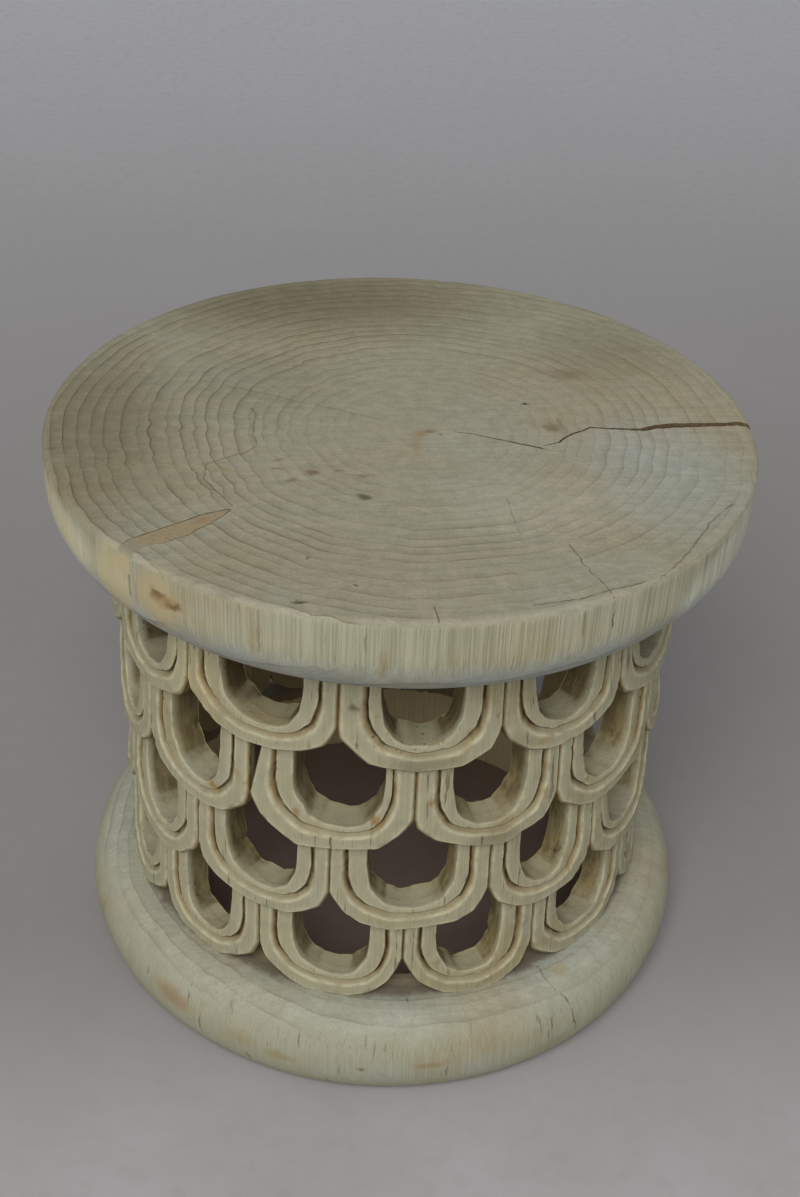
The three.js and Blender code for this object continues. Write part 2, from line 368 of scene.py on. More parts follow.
class Graph:
    """Adds nodes to one node tree and joins them."""

    def __init__(self, tree: bpy.types.NodeTree) -> None:
        """Keep the tree that the nodes go into."""
        self.tree = tree

    def add(self, kind: str, **settings: object) -> bpy.types.Node:
        """A new node.

        Args:
            kind: the node's type name.
            **settings: its properties.

        Returns:
            The node.
        """
        node = self.tree.nodes.new(kind)
        for key, value in settings.items():
            setattr(node, key, value)
        return node

    def feed(self, source: Feed, socket: Socket) -> None:
        """Join an output to a socket, or set the socket's own value."""
        if isinstance(source, bpy.types.NodeSocket):
            self.tree.links.new(source, socket)
        else:
            socket.default_value = source

    def fill(self, node: bpy.types.Node, **sources: Feed) -> bpy.types.Node:
        """Feed a node's inputs by name, with _ for a space, and give the node back."""
        for key, source in sources.items():
            self.feed(source, node.inputs[key.replace("_", " ")])
        return node

    def math(self, operation: str, *values: Feed, clamp: bool = False) -> Socket:
        """One sum.

        Args:
            operation: the sum's type name.
            *values: its one to three numbers.
            clamp: True to keep the result between 0 and 1.

        Returns:
            The result.
        """
        node = self.add("ShaderNodeMath", operation=operation, use_clamp=clamp)
        for value, socket in zip(values, node.inputs):
            self.feed(value, socket)
        return node.outputs[0]

    def plus(self, first: Feed, second: Feed) -> Socket:
        """The first number and the second together."""
        return self.math("ADD", first, second)

    def minus(self, first: Feed, second: Feed) -> Socket:
        """The first number less the second."""
        return self.math("SUBTRACT", first, second)

    def times(self, first: Feed, second: Feed, clamp: bool = False) -> Socket:
        """The first number times the second."""
        return self.math("MULTIPLY", first, second, clamp=clamp)

    def times_plus(self, first: Feed, second: Feed, third: Feed) -> Socket:
        """The first number times the second, and the third on top."""
        return self.math("MULTIPLY_ADD", first, second, third)

    def vector(self, operation: str, *values: Feed, output: int = 0) -> Socket:
        """One sum of vectors, as math does it for numbers."""
        node = self.add("ShaderNodeVectorMath", operation=operation)
        for value, socket in zip(values, node.inputs):
            self.feed(value, socket)
        return node.outputs[output]

    def scaled(self, vector: Feed, scale: Feed) -> Socket:
        """A vector times a number."""
        return self.fill(self.vector("SCALE", vector).node, Scale=scale).outputs[0]

    def length(self, vector: Feed) -> Socket:
        """A vector's length."""
        return self.vector("LENGTH", vector, output=1)

    def dot(self, first: Feed, second: Feed) -> Socket:
        """How far one vector runs along another, times the other's length."""
        return self.vector("DOT_PRODUCT", first, second, output=1)

    def noise(
        self, place: Socket, scale: Feed, detail: float = 2.0, roughness: float = 0.5, stretch: Optional[Triple] = None,
    ) -> Socket:
        """Soft noise from 0 to 1.

        Args:
            place: position.
            scale: how many features there are to a metre.
            detail: how many finer layers are added.
            roughness: how strong those are.
            stretch: multipliers of x, y and z that stretch the features.

        Returns:
            The noise's value.
        """
        if stretch is not None:
            place = self.vector("MULTIPLY", place, stretch)
        node = self.add("ShaderNodeTexNoise")
        return self.fill(node, Vector=place, Scale=scale, Detail=detail, Roughness=roughness).outputs["Fac"]

    def moved(self, place: Socket, noise: Socket, reach: float) -> Socket:
        """A place moved by up to half a reach each way along x, y and z, as a noise says."""
        return self.vector("ADD", place, self.scaled(self.vector("SUBTRACT", noise, (0.5, 0.5, 0.5)), reach))

    def wandered(self, place: Socket, scale: float, detail: float, reach: float) -> Socket:
        """A place moved by noise of its own."""
        node = self.fill(self.add("ShaderNodeTexNoise"), Vector=place, Scale=scale, Detail=detail)
        return self.moved(place, node.outputs["Color"], reach)

    def ease(self, value: Feed, low: Feed, high: Feed, to_low: float = 0.0, to_high: float = 1.0) -> Socket:
        """Ease a value from one range into another, smoothly and without overshoot."""
        node = self.add("ShaderNodeMapRange", interpolation_type="SMOOTHSTEP")
        self.fill(node, Value=value, From_Min=low, From_Max=high, To_Min=to_low, To_Max=to_high)
        return node.outputs["Result"]

    def mix(self, share: Feed, first: Feed, second: Feed, blend: str = "MIX") -> Socket:
        """Mix two colours.

        Args:
            share: how much of the second goes in.
            first: a colour.
            second: a colour.
            blend: how they mix.

        Returns:
            The mixed colour.
        """
        node = self.add("ShaderNodeMix", data_type="RGBA", blend_type=blend)
        for source, number in ((share, 0), (first, 6), (second, 7)):
            self.feed(source, node.inputs[number])
        return node.outputs[2]

    def parts(self, vector: Socket) -> tuple[Socket, Socket, Socket]:
        """A vector's x, y and z."""
        node = self.fill(self.add("ShaderNodeSeparateXYZ"), Vector=vector)
        return node.outputs[0], node.outputs[1], node.outputs[2]

    def combined(self, x: Feed, y: Feed, z: Feed) -> Socket:
        """A vector from its x, y and z."""
        return self.fill(self.add("ShaderNodeCombineXYZ"), X=x, Y=y, Z=z).outputs[0]

    def place(self, tree: bpy.types.NodeTree, **values: Feed) -> bpy.types.bpy_prop_collection:
        """Place a group with its own values, and give back its outputs."""
        return self.fill(self.add("ShaderNodeGroup", node_tree=tree), **values).outputs

    def mask(self, mask: Mask) -> Socket:
        """A value kept on the mesh's points."""
        return self.add("ShaderNodeAttribute", attribute_type="GEOMETRY", attribute_name=mask.value).outputs["Fac"]

    def position(self) -> Socket:
        """The place on the table, in metres, in the part's own frame."""
        return self.add("ShaderNodeTexCoord").outputs["Object"]

    def dress(
        self, shader: bpy.types.Node, colour: Socket, rough: Socket, height: Optional[Socket] = None, bump: float = 0.0,
    ) -> None:
        """Give a shader its looks.

        Args:
            shader: the Principled shader.
            colour: its colour.
            rough: its roughness.
            height: its fine relief, if it has any.
            bump: how strong that is.
        """
        self.fill(shader, Base_Color=colour, Roughness=rough)
        if height is not None:
            relief = self.fill(self.add("ShaderNodeBump"), Strength=bump, Distance=RELIEF, Height=height)
            self.fill(shader, Normal=relief.outputs["Normal"])


@dataclass(frozen=True)
class Effect:
    """A shared effect, built once as a node group and placed in each material that has it."""

    name: str
    inputs: tuple[tuple[str, Plain], ...]
    outputs: tuple[str, ...]
    wire: Callable[[Graph, Given], Results]

    def tree(self) -> bpy.types.NodeTree:
        """The group's tree, made on first use.

        Returns:
            The node tree, with named sockets.
        """
        found = bpy.data.node_groups.get(self.name)
        if found is not None:
            return found
        tree = bpy.data.node_groups.new(self.name, "ShaderNodeTree")
        for name, value in self.inputs:
            kind = "NodeSocketFloat" if isinstance(value, float) else "NodeSocketVector"
            tree.interface.new_socket(name=name, in_out="INPUT", socket_type=kind).default_value = value
        for name in self.outputs:
            tree.interface.new_socket(name=name, in_out="OUTPUT", socket_type="NodeSocketFloat")
        graph = Graph(tree)
        entry = graph.add("NodeGroupInput")
        leave = graph.add("NodeGroupOutput")
        graph.fill(leave, **self.wire(graph, {name: entry.outputs[name] for name, _ in self.inputs}))
        return tree


def round_heart(g: Graph, place: Socket) -> tuple[Socket, Socket]:
    """Distance from the log's heart, and the direction out from it."""
    flat = g.vector("MULTIPLY", g.vector("SUBTRACT", place, HEART), FLAT)
    return g.length(flat), g.vector("NORMALIZE", flat)


def wire_rings(g: Graph, given: Given) -> Results:
    """Growth rings round the log's heart: a thin dark line at each year's end, and the slow
    darkening that leads up to it. A ring's waves keep their place round the log from one ring
    to the next."""
    place = given["Place"]
    radius, heading = round_heart(g, place)
    x, _, z = g.parts(place)

    def wave(across: float, outward: float) -> Socket:
        """Noise that runs round the log."""
        lift = g.combined(0.0, 0.0, g.times_plus(z, 3.0, g.times(radius, outward)))
        spot = g.vector("ADD", g.vector("MULTIPLY", heading, (across, across, 0.0)), lift)
        return g.times(g.minus(g.noise(spot, 1.0, 1.0), 0.5), given["Waviness"])

    long_wave = g.minus(g.noise(place, 6.0, 1.0, stretch=(1.0, 1.0, 0.35)), 0.5)
    moved = g.times_plus(long_wave, 0.020, radius)
    moved = g.times_plus(wave(5.0, 9.0), 0.010, moved)
    kinks = g.times_plus(g.math("ABSOLUTE", wave(31.0, 34.0)), 0.22, g.math("ABSOLUTE", wave(10.0, 14.0)))
    moved = g.times_plus(kinks, g.ease(g.noise(place, 9.0, 1.0), 0.46, 0.66, 0.002, 0.013), moved)
    moved = g.times_plus(g.minus(g.noise(place, 330.0), 0.5), 0.0007, moved)
    years = g.math("DIVIDE", moved, given["Spacing"])
    uneven = g.fill(g.add("ShaderNodeTexNoise", noise_dimensions="1D"), W=years, Scale=0.37, Detail=1.0)
    years = g.plus(uneven.outputs["Fac"], years)
    part = g.math("FRACT", years)
    year = g.fill(g.add("ShaderNodeTexWhiteNoise", noise_dimensions="1D"), W=g.math("FLOOR", years))
    strength = g.times_plus(year.outputs["Value"], 0.60, 0.40)
    broken = g.ease(g.noise(place, 24.0), 0.30, 0.60, 0.35, 1.0)
    toward_heart = g.ease(radius, 0.03, 0.19, 0.22, 1.0)
    bias = g.ease(x, 0.20, -0.12, 0.55, 1.0)
    strength = g.times(g.times(strength, broken), g.times(toward_heart, bias))
    line = g.times(g.math("POWER", part, 10.0), strength)
    return {"Line": line, "Shade": g.times(g.math("POWER", part, 1.7), strength)}


def wire_fibres(g: Graph, given: Given) -> Results:
    """Fibres that run up the log: broad and fine streaks, open pores and short drying checks."""
    heading = g.vector("NORMALIZE", g.vector("MULTIPLY", given["Place"], FLAT))
    squeezed = g.vector("MULTIPLY", given["Place"], (0.35, 0.35, 1.0))
    place = g.vector("ADD", squeezed, g.vector("MULTIPLY", heading, (0.145, 0.145, 0.0)))

    def strands(detail: float, roughness: float, across: float, along: float) -> Socket:
        """Noise drawn out along the log."""
        return g.noise(place, 1.0, detail, roughness, stretch=(across, across, along))

    streak = g.times_plus(strands(2.0, 0.6, 850.0, 9.0), 0.46, g.times(strands(2.0, 0.5, 80.0, 5.0), 0.16))
    streak = g.times_plus(strands(2.0, 0.6, 1500.0, 15.0), 0.38, streak)
    return {
        "Streak": g.ease(streak, 0.37, 0.63),
        "Pore": g.ease(strands(1.0, 0.5, 1000.0, 48.0), 0.66, 0.76),
        "Check": g.ease(strands(3.0, 0.7, 230.0, 14.0), 0.645, 0.685),
    }


def wire_end_pores(g: Graph, given: Given) -> Results:
    """What the cut fibres show from above: fine pores, rays from the heart and sanding marks."""
    place = given["Place"]
    radius, heading = round_heart(g, place)
    out = g.combined(0.0, 0.0, g.times(radius, 30.0))
    turned = g.vector("MULTIPLY", heading, (55.0, 55.0, 0.0))
    along, over = g.dot(place, (0.85, -0.53, 0.0)), g.dot(place, (0.53, 0.85, 0.0))
    scratches = g.noise(g.combined(g.times(along, 24.0), g.times(over, 560.0), 0.0), 1.0, 2.0, 0.6)
    return {
        "Pores": g.noise(place, 700.0, 3.0, 0.75),
        "Rays": g.noise(g.vector("ADD", turned, out), 1.0, 3.0, 0.6),
        "Sanding": g.noise(place, 1.0, 3.0, 0.6, stretch=(26.0, 420.0, 40.0)),
        "Scratches": g.times(g.ease(scratches, 0.56, 0.70), g.ease(g.noise(place, 15.0), 0.42, 0.62)),
        "Mottle": g.noise(place, 85.0, 3.0, 0.6),
    }


def wire_end_share(g: Graph, given: Given) -> Results:
    """How much a surface lies across the log's fibres."""
    _, _, up = g.parts(g.add("ShaderNodeNewGeometry").outputs["Normal"])
    ragged = g.minus(g.noise(given["Place"], 190.0), 0.5)
    slope = g.times_plus(ragged, 0.03, g.math("ABSOLUTE", up))
    return {"Share": g.ease(slope, given["From"], given["To"])}


def wire_blotches(g: Graph, given: Given) -> Results:
    """Soft uneven patches, few or many."""
    cloud = g.noise(given["Place"], given["Scale"], 4.0, 0.6)
    low = g.minus(1.0, given["Amount"])
    return {"Mask": g.ease(cloud, low, g.plus(low, given["Softness"]))}


def wire_specks(g: Graph, given: Given) -> Results:
    """Small dark mould specks that gather in patches."""
    cells = g.fill(g.add("ShaderNodeTexVoronoi"), Vector=given["Place"], Scale=given["Scale"])
    size = g.fill(g.add("ShaderNodeSeparateColor"), Color=cells.outputs["Color"])
    chosen = g.ease(size.outputs[0], 0.62, 1.0, 0.0, 0.40)
    dot = g.math("LESS_THAN", cells.outputs["Distance"], chosen)
    patches = g.ease(g.noise(given["Place"], 19.0), g.minus(0.86, given["Amount"]), 0.86)
    return {"Mask": g.times(dot, patches)}


def wire_spot(g: Graph, given: Given) -> Results:
    """One patch at a given place: a stain or knot, or painted light or shade."""
    away = g.vector("DIVIDE", g.vector("SUBTRACT", given["Place"], given["Centre"]), given["Reach"])
    return {"Mask": g.ease(g.length(away), 1.0, given["Core"])}


def wire_drawn_line(g: Graph, given: Given) -> Results:
    """A thin straight line from one point to another, such as a hairline crack."""
    along = g.vector("SUBTRACT", given["To"], given["From"])
    out = g.vector("SUBTRACT", given["Place"], given["From"])
    share = g.math("DIVIDE", g.dot(out, along), g.dot(along, along), clamp=True)
    far = g.length(g.vector("SUBTRACT", out, g.scaled(along, share)))
    return {"Mask": g.ease(far, given["Width"], g.times(given["Width"], 0.35))}


def wire_edge_wear_and_highlight(g: Graph, given: Given) -> Results:
    """Paler wood along edges, broken up: partly rubbed wear, partly painted highlight."""
    patchy = g.noise(given["Place"], 95.0, 3.0, 0.6)
    return {"Mask": g.times(given["Edge"], g.ease(patchy, 0.32, 0.62, 0.15, 1.0))}


PLACE = ("Place", (0.0, 0.0, 0.0))
MASK = ("Mask",)
RINGS = Effect("Growth rings", (PLACE, ("Spacing", RING_SPACING), ("Waviness", 1.0)), ("Line", "Shade"), wire_rings)
FIBRES = Effect("Log fibres", (PLACE,), ("Streak", "Pore", "Check"), wire_fibres)
END_PORES = Effect("End grain pores", (PLACE,), ("Pores", "Rays", "Sanding", "Scratches", "Mottle"), wire_end_pores)
END_SHARE = Effect("End grain share", (PLACE, ("From", 0.5), ("To", 0.9)), ("Share",), wire_end_share)
BLOTCHES = Effect("Blotches", (PLACE, ("Scale", 12.0), ("Amount", 0.4), ("Softness", 0.2)), MASK, wire_blotches)
SPECKS = Effect("Mould specks", (PLACE, ("Scale", 300.0), ("Amount", 0.3)), MASK, wire_specks)
SPOT = Effect("StainAndLightPatch", (PLACE, ("Centre", (0, 0, 0)), ("Reach", (0.01, 0.01, 0.01)), ("Core", 0.3)), MASK, wire_spot)
DRAWN_LINE = Effect(
    "Drawn line", (PLACE, ("From", (0, 0, 0)), ("To", (1, 0, 0)), ("Width", 0.001)), MASK, wire_drawn_line,
)
EDGE_WEAR_AND_HIGHLIGHT = Effect("Edge wear and highlight", (PLACE, ("Edge", 0.0)), MASK, wire_edge_wear_and_highlight)


def blotches(g: Graph, place: Socket, scale: float, amount: float, softness: float) -> Socket:
    """Where soft patches lie."""
    return g.place(BLOTCHES.tree(), Place=place, Scale=scale, Amount=amount, Softness=softness)["Mask"]


# ---- finishes ----


@dataclass(frozen=True)
class StainAndLightPatch:
    """One patch of colour at a place that the photograph shows, in millimetres: a stain, knot or rust spot, or a patch
    of painted light or shade.
    """

    x: float
    y: float
    z: float
    reach: Triple
    colour: Colour
    strength: float
    core: float = 0.2

    def mask(self, g: Graph, place: Socket) -> Socket:
        """Where it lies, on a place that noise has moved."""
        centre = (self.x * MM, self.y * MM, self.z * MM)
        reach = tuple(value * MM for value in self.reach)
        return g.place(SPOT.tree(), Place=place, Centre=centre, Reach=reach, Core=self.core)["Mask"]


@dataclass(frozen=True)
class Hairline:
    """A fine crack through some points, in millimetres."""

    points: tuple[Triple, ...]
    width: float
    strength: float

    def masks(self, g: Graph, place: Socket) -> list[Socket]:
        """Where each of its straight runs lies, on a place that noise has moved."""
        ends = [tuple(value * MM for value in point) for point in self.points]
        return [
            g.place(DRAWN_LINE.tree(), Place=place, From=start, To=end, Width=self.width * MM)["Mask"]
            for start, end in zip(ends, ends[1:])
        ]


@dataclass(frozen=True)
class Finish:
    """A finish: one material with one Principled shader."""

    name: str

    def material(self) -> bpy.types.Material:
        """Build the finish.

        Returns:
            The material.
        """
        made = bpy.data.materials.new(self.name)
        made.use_nodes = True
        self.wire(Graph(made.node_tree), made.node_tree.nodes["Principled BSDF"])
        return made

    def wire(self, g: Graph, shader: bpy.types.Node) -> None:
        """Wire the finish's own nodes into its shader."""
        raise NotImplementedError


@dataclass(frozen=True)
class BareWood(Finish):
    """Bare wood of the one log: end grain where a face lies across the fibres, streaks where it
    lies along them."""

    end_colour: Colour
    end_tan: Colour
    end_grey: Colour
    side_colour: Colour
    side_tan: Colour
    side_grey: Colour
    side_pale: Colour
    side_dark: Colour
    ring_colour: Colour
    grain: Grain
    ring_strength: float
    ring_waviness: float
    streak_strength: float
    speck_amount: float
    stain_amount: float
    bump: float
    # Broad multiplied tints, many of them painted light and shade.
    washes: tuple[StainAndLightPatch, ...]
    # Mixed-in patches: stain marks, knots and rust, a few of them painted light and shade.
    stain_and_light_patches: tuple[StainAndLightPatch, ...]
    hairlines: tuple[Hairline, ...]
    check_strength: float = 0.5
    carved: bool = False
    mould: tuple[StainAndLightPatch, ...] = ()

    def wire(self, g: Graph, shader: bpy.types.Node) -> None:
        """Wire both grains, then the carving, the stain patches with their painted light and shade, and the cracks over
        them.
        """
        place = g.position()
        low, high = self.grain.value
        share = g.place(END_SHARE.tree(), Place=place, From=low, To=high)["Share"]
        end_colour, end_height = self._end_grain(g, place)
        side_colour, side_height = self._side_grain(g, place)
        colour = g.mix(share, side_colour, end_colour)
        height = g.plus(g.times(end_height, share), g.times(side_height, g.minus(1.0, share)))
        if self.carved:
            colour, height = self._carving(g, place, share, colour, height)
        colour = self._cracked(g, place, self._stains_and_painted_light(g, place, colour))
        rough = g.ease(g.noise(place, 60.0, 3.0, 0.6), 0.3, 0.7, 0.66, 0.84)
        g.dress(shader, colour, rough, height, self.bump)
        shader.inputs["Specular IOR Level"].default_value = WOOD_SHEEN

    def _end_grain(self, g: Graph, place: Socket) -> tuple[Socket, Socket]:
        """Colour and height where the fibres are cut across."""
        rings = g.place(RINGS.tree(), Place=place, Spacing=RING_SPACING, Waviness=self.ring_waviness)
        cut = g.place(END_PORES.tree(), Place=place)
        tan = blotches(g, place, 6.0, 0.55, 0.25)
        grey = blotches(g, g.vector("ADD", place, (0.31, 0.17, 0.0)), 5.0, 0.52, 0.25)
        colour = g.mix(g.times(tan, 0.7), self.end_colour, self.end_tan)
        colour = g.mix(g.times(grey, 0.65), colour, self.end_grey)
        fine = g.plus(g.times(cut["Pores"], 0.58), g.times(cut["Rays"], 0.12))
        fine = g.times_plus(cut["Sanding"], 0.30, fine)
        tone = g.times(g.ease(fine, 0.30, 0.70, 0.83, 1.15), g.ease(cut["Mottle"], 0.30, 0.70, 0.93, 1.06))
        tone = g.times_plus(cut["Scratches"], 0.13, tone)
        colour = g.mix(1.0, colour, g.combined(tone, tone, tone), "MULTIPLY")
        ringed = g.times_plus(rings["Shade"], 0.48, g.times(rings["Line"], 0.85))
        colour = g.mix(g.times(ringed, self.ring_strength, clamp=True), colour, self.ring_colour)
        height = g.times_plus(rings["Line"], -0.35 * self.ring_strength, g.times(fine, 0.35))
        return colour, height

    def _side_grain(self, g: Graph, place: Socket) -> tuple[Socket, Socket]:
        """Colour and height where the surface runs along the fibres, calmer toward -X."""
        fibres = g.place(FIBRES.tree(), Place=place)
        tan = blotches(g, g.vector("ADD", place, (0.07, 0.43, 0.2)), 11.0, 0.50, 0.22)
        grey = blotches(g, g.vector("ADD", place, (0.51, 0.02, 0.7)), 19.0, 0.48, 0.20)
        colour = g.mix(g.times(tan, 0.65), self.side_colour, self.side_tan)
        colour = g.mix(g.times(grey, 0.6), colour, self.side_grey)
        x, _, _ = g.parts(place)
        calm = g.ease(x, -0.09, 0.07, 0.80 * self.streak_strength, 1.15 * self.streak_strength)
        streak = g.times(g.minus(fibres["Streak"], 0.5), calm)
        colour = g.mix(g.math("MAXIMUM", streak, 0.0), colour, self.side_pale)
        colour = g.mix(g.math("MAXIMUM", g.times(streak, -1.0), 0.0), colour, self.side_dark)
        colour = g.mix(g.times(fibres["Pore"], 0.25), colour, paint(92, 80, 55))
        colour = g.mix(g.times(fibres["Check"], self.check_strength), colour, paint(74, 61, 38))
        height = g.times_plus(fibres["Pore"], -0.30, g.times(fibres["Streak"], 0.14))
        return colour, g.times_plus(fibres["Check"], -0.6, height)

    def _carving(self, g: Graph, place: Socket, share: Socket, colour: Socket, height: Socket) -> tuple[Socket, Socket]:
        """The carver's work over the plain wood.

        Args:
            g: the material's graph.
            place: position.
            share: how much the surface is end grain.
            colour: the wood's colour.
            height: the wood's height.

        Returns:
            Colour and height, with painted shade on the window walls, an ochre groove stain that is partly painted
            shade, painted shade deep in the grooves' creases, and pale edges that are partly rubbed wear and partly
            painted highlight.
        """
        hollow = g.mask(Mask.HOLLOW)
        colour = g.mix(g.ease(hollow, 0.3, 1.0, 0.0, 0.85), colour, self.side_colour)
        # Painted shade on the window walls, with painted light on their floors and inside.
        colour = g.mix(g.ease(hollow, 0.02, 0.30, 0.0, 0.92), colour, self._window_painted_shade(g, place, hollow), "MULTIPLY")
        groove = g.mask(Mask.GROOVE)
        # Ochre stain in the grooves, partly painted shade: less where the surface faces up.
        groove_stain_and_shade = g.times(g.ease(groove, 0.03, 0.55), g.minus(1.0, g.times(share, 0.7)))
        groove_stain_and_shade = g.times(groove_stain_and_shade, g.ease(g.noise(place, 60.0, 2.0), 0.25, 0.60, 0.45, 1.0))
        colour = g.mix(groove_stain_and_shade, colour, paint(118, 98, 58))
        # Painted shade deep in the grooves' creases, broken up by noise.
        narrow = g.times_plus(share, 0.30, 0.55)
        crease_shade = g.ease(groove, narrow, g.plus(narrow, 0.3))
        crease_shade = g.times(crease_shade, g.ease(g.noise(place, 90.0, 2.0), 0.35, 0.6, 0.40, 0.95))
        colour = g.mix(crease_shade, colour, paint(56, 45, 27))
        # Paler edges: partly rubbed wear, partly painted highlight.
        worn = g.place(EDGE_WEAR_AND_HIGHLIGHT.tree(), Place=place, Edge=g.mask(Mask.EDGE))["Mask"]
        colour = g.mix(g.times(worn, 0.70), colour, paint(188, 183, 153))
        rough_cut = g.noise(place, 210.0, 3.0, 0.65)
        return colour, g.times_plus(rough_cut, g.times_plus(hollow, 0.7, 0.45), height)

    @staticmethod
    def _window_painted_shade(g: Graph, place: Socket, hollow: Socket) -> Socket:
        """Painted shade on a window's walls, streaked like torn fibres: darker toward the top under the slab, darker on
        the left and lighter on the right, and lighter where the wood lies flat and faces up; the inside faces get
        painted light, warmer and brighter toward the top.
        """
        x, _, z = g.parts(place)
        # Painted shade over the walls, streaked like torn fibres.
        torn = g.noise(place, 1.0, 3.0, 0.65, stretch=(170.0, 170.0, 36.0))
        wall = g.mix(g.ease(torn, 0.36, 0.64), (0.36, 0.30, 0.19, 1.0), (0.62, 0.55, 0.40, 1.0))
        # Painted shade: darker toward the top, under the slab.
        wall = g.mix(g.ease(z, 0.215, 0.335), wall, (0.60, 0.54, 0.46, 1.0), "MULTIPLY")
        # Painted light: darker on the left, lighter on the right.
        sided = g.mix(g.ease(x, -0.12, 0.12), (0.86, 0.82, 0.78, 1.0), (1.30, 1.26, 1.22, 1.0))
        wall = g.mix(1.0, wall, sided, "MULTIPLY")
        # Painted light: window floors that face up are kept near full brightness.
        least = g.ease(z, 0.285, 0.345, 0.60, 0.70)
        lying = g.place(END_SHARE.tree(), Place=place, From=least, To=1.0)["Share"]
        tint = g.mix(lying, wall, (1.04, 1.02, 0.98, 1.0))
        # Painted light: the inside faces warmer, and brighter toward the top.
        inside = g.mix(g.ease(z, 0.27, 0.36), (1.10, 0.93, 0.66, 1.0), (1.75, 1.45, 1.05, 1.0))
        return g.mix(g.ease(hollow, 0.95, 1.0), tint, inside)

    def _stains_and_painted_light(self, g: Graph, place: Socket, colour: Socket) -> Socket:
        """Orange blooms, black specks, and the patches that the photograph places: broad washes, many of them painted
        light and shade, then stain marks, a few of them lightened or darkened as painted light and shade.
        """
        orange = blotches(g, g.vector("ADD", place, (0.9, 0.1, 0.4)), 34.0, self.stain_amount, 0.10)
        colour = g.mix(g.times(orange, 0.45), colour, paint(134, 114, 70))
        torn = g.wandered(place, 130.0, 3.0, 0.010)
        for placed, blend in ((self.washes, "MULTIPLY"), (self.stain_and_light_patches, "MIX")):
            by_colour: dict[Colour, list[StainAndLightPatch]] = {}
            for stain in placed:
                by_colour.setdefault(stain.colour, []).append(stain)
            for tint, group in by_colour.items():
                cover = self._strongest(g, [(stain.mask(g, torn), stain.strength) for stain in group])
                colour = g.mix(cover, colour, tint, blend)
        amount: Feed = self.speck_amount
        for patch in self.mould:
            amount = g.times_plus(patch.mask(g, torn), patch.strength, amount)
        specks = g.place(SPECKS.tree(), Place=place, Scale=330.0, Amount=amount)["Mask"]
        return g.mix(g.times(specks, 0.75), colour, paint(52, 46, 36))

    def _cracked(self, g: Graph, place: Socket, colour: Socket) -> Socket:
        """Hairline cracks, wandering a little."""
        moved = g.wandered(place, 90.0, 2.0, 0.004)
        found = [(mask, line.strength) for line in self.hairlines for mask in line.masks(g, moved)]
        return g.mix(self._strongest(g, found), colour, paint(70, 58, 38))

    @staticmethod
    def _strongest(g: Graph, masks: list[tuple[Socket, float]]) -> Socket:
        """The strongest of some masks, each with its own strength."""
        scaled = [g.times(mask, strength) for mask, strength in masks]
        return functools.reduce(lambda first, second: g.math("MAXIMUM", first, second), scaled)


@dataclass(frozen=True)
class TornWood(Finish):
    """Torn fibres on the walls of a drying crack, with painted shade that grows darker further down."""

    name: str = "Torn wood"
    top_height: float = TOP_HEIGHT
    dark_by: float = 12.0

    def wire(self, g: Graph, shader: bpy.types.Node) -> None:
        """Wire the fibres and the painted shade."""
        place = g.position()
        _, _, z = g.parts(place)
        streak = g.place(FIBRES.tree(), Place=place)["Streak"]
        top, low = self.top_height * MM, (self.top_height - self.dark_by) * MM
        # Painted shade: darker from the top down over dark_by millimetres.
        colour = g.mix(g.ease(z, top, low), paint(98, 81, 54), paint(38, 29, 18))
        colour = g.mix(g.times(streak, 0.45), colour, paint(62, 44, 27))
        g.dress(shader, colour, g.ease(streak, 0.0, 1.0, 0.75, 0.9), streak, 0.6)


@dataclass(frozen=True)
class FillerPaste(Finish):
    """Sawdust and glue, set hard in the old crack."""

    name: str = "Filler paste"
    rust: StainAndLightPatch = StainAndLightPatch(-139, -131, TOP_HEIGHT, (8, 6, 20), paint(138, 108, 74), 0.6)

    def wire(self, g: Graph, shader: bpy.types.Node) -> None:
        """Wire the crumbs, one rusty spot, the greyer paste toward the rim, and paler paste down the rim's side, partly
        painted light.
        """
        place = g.position()
        crumbs = g.noise(place, 420.0, 3.0, 0.65)
        cloud = g.noise(place, 70.0, 3.0, 0.6)
        colour = g.mix(g.ease(cloud, 0.35, 0.65), paint(136, 126, 101), paint(143, 127, 96))
        colour = g.mix(g.ease(crumbs, 0.50, 0.68, 0.0, 0.5), colour, paint(110, 92, 62))
        moved = g.moved(place, g.combined(cloud, crumbs, cloud), 0.010)
        colour = g.mix(g.times(self.rust.mask(g, moved), self.rust.strength), colour, self.rust.colour)
        out = g.vector("LENGTH", g.vector("MULTIPLY", place, FLAT), output=1)
        colour = g.mix(g.ease(out, 0.232, 0.243, 0.0, 0.75), colour, paint(128, 125, 106))
        _, _, z = g.parts(place)
        # Paler tan paste down the rim's side, matching the patch there: partly painted light.
        colour = g.mix(g.ease(z, 0.4340, 0.4300, 0.0, 0.9), colour, paint(170, 156, 121))
        g.dress(shader, colour, g.ease(crumbs, 0.3, 0.7, 0.62, 0.82), crumbs, 0.5)


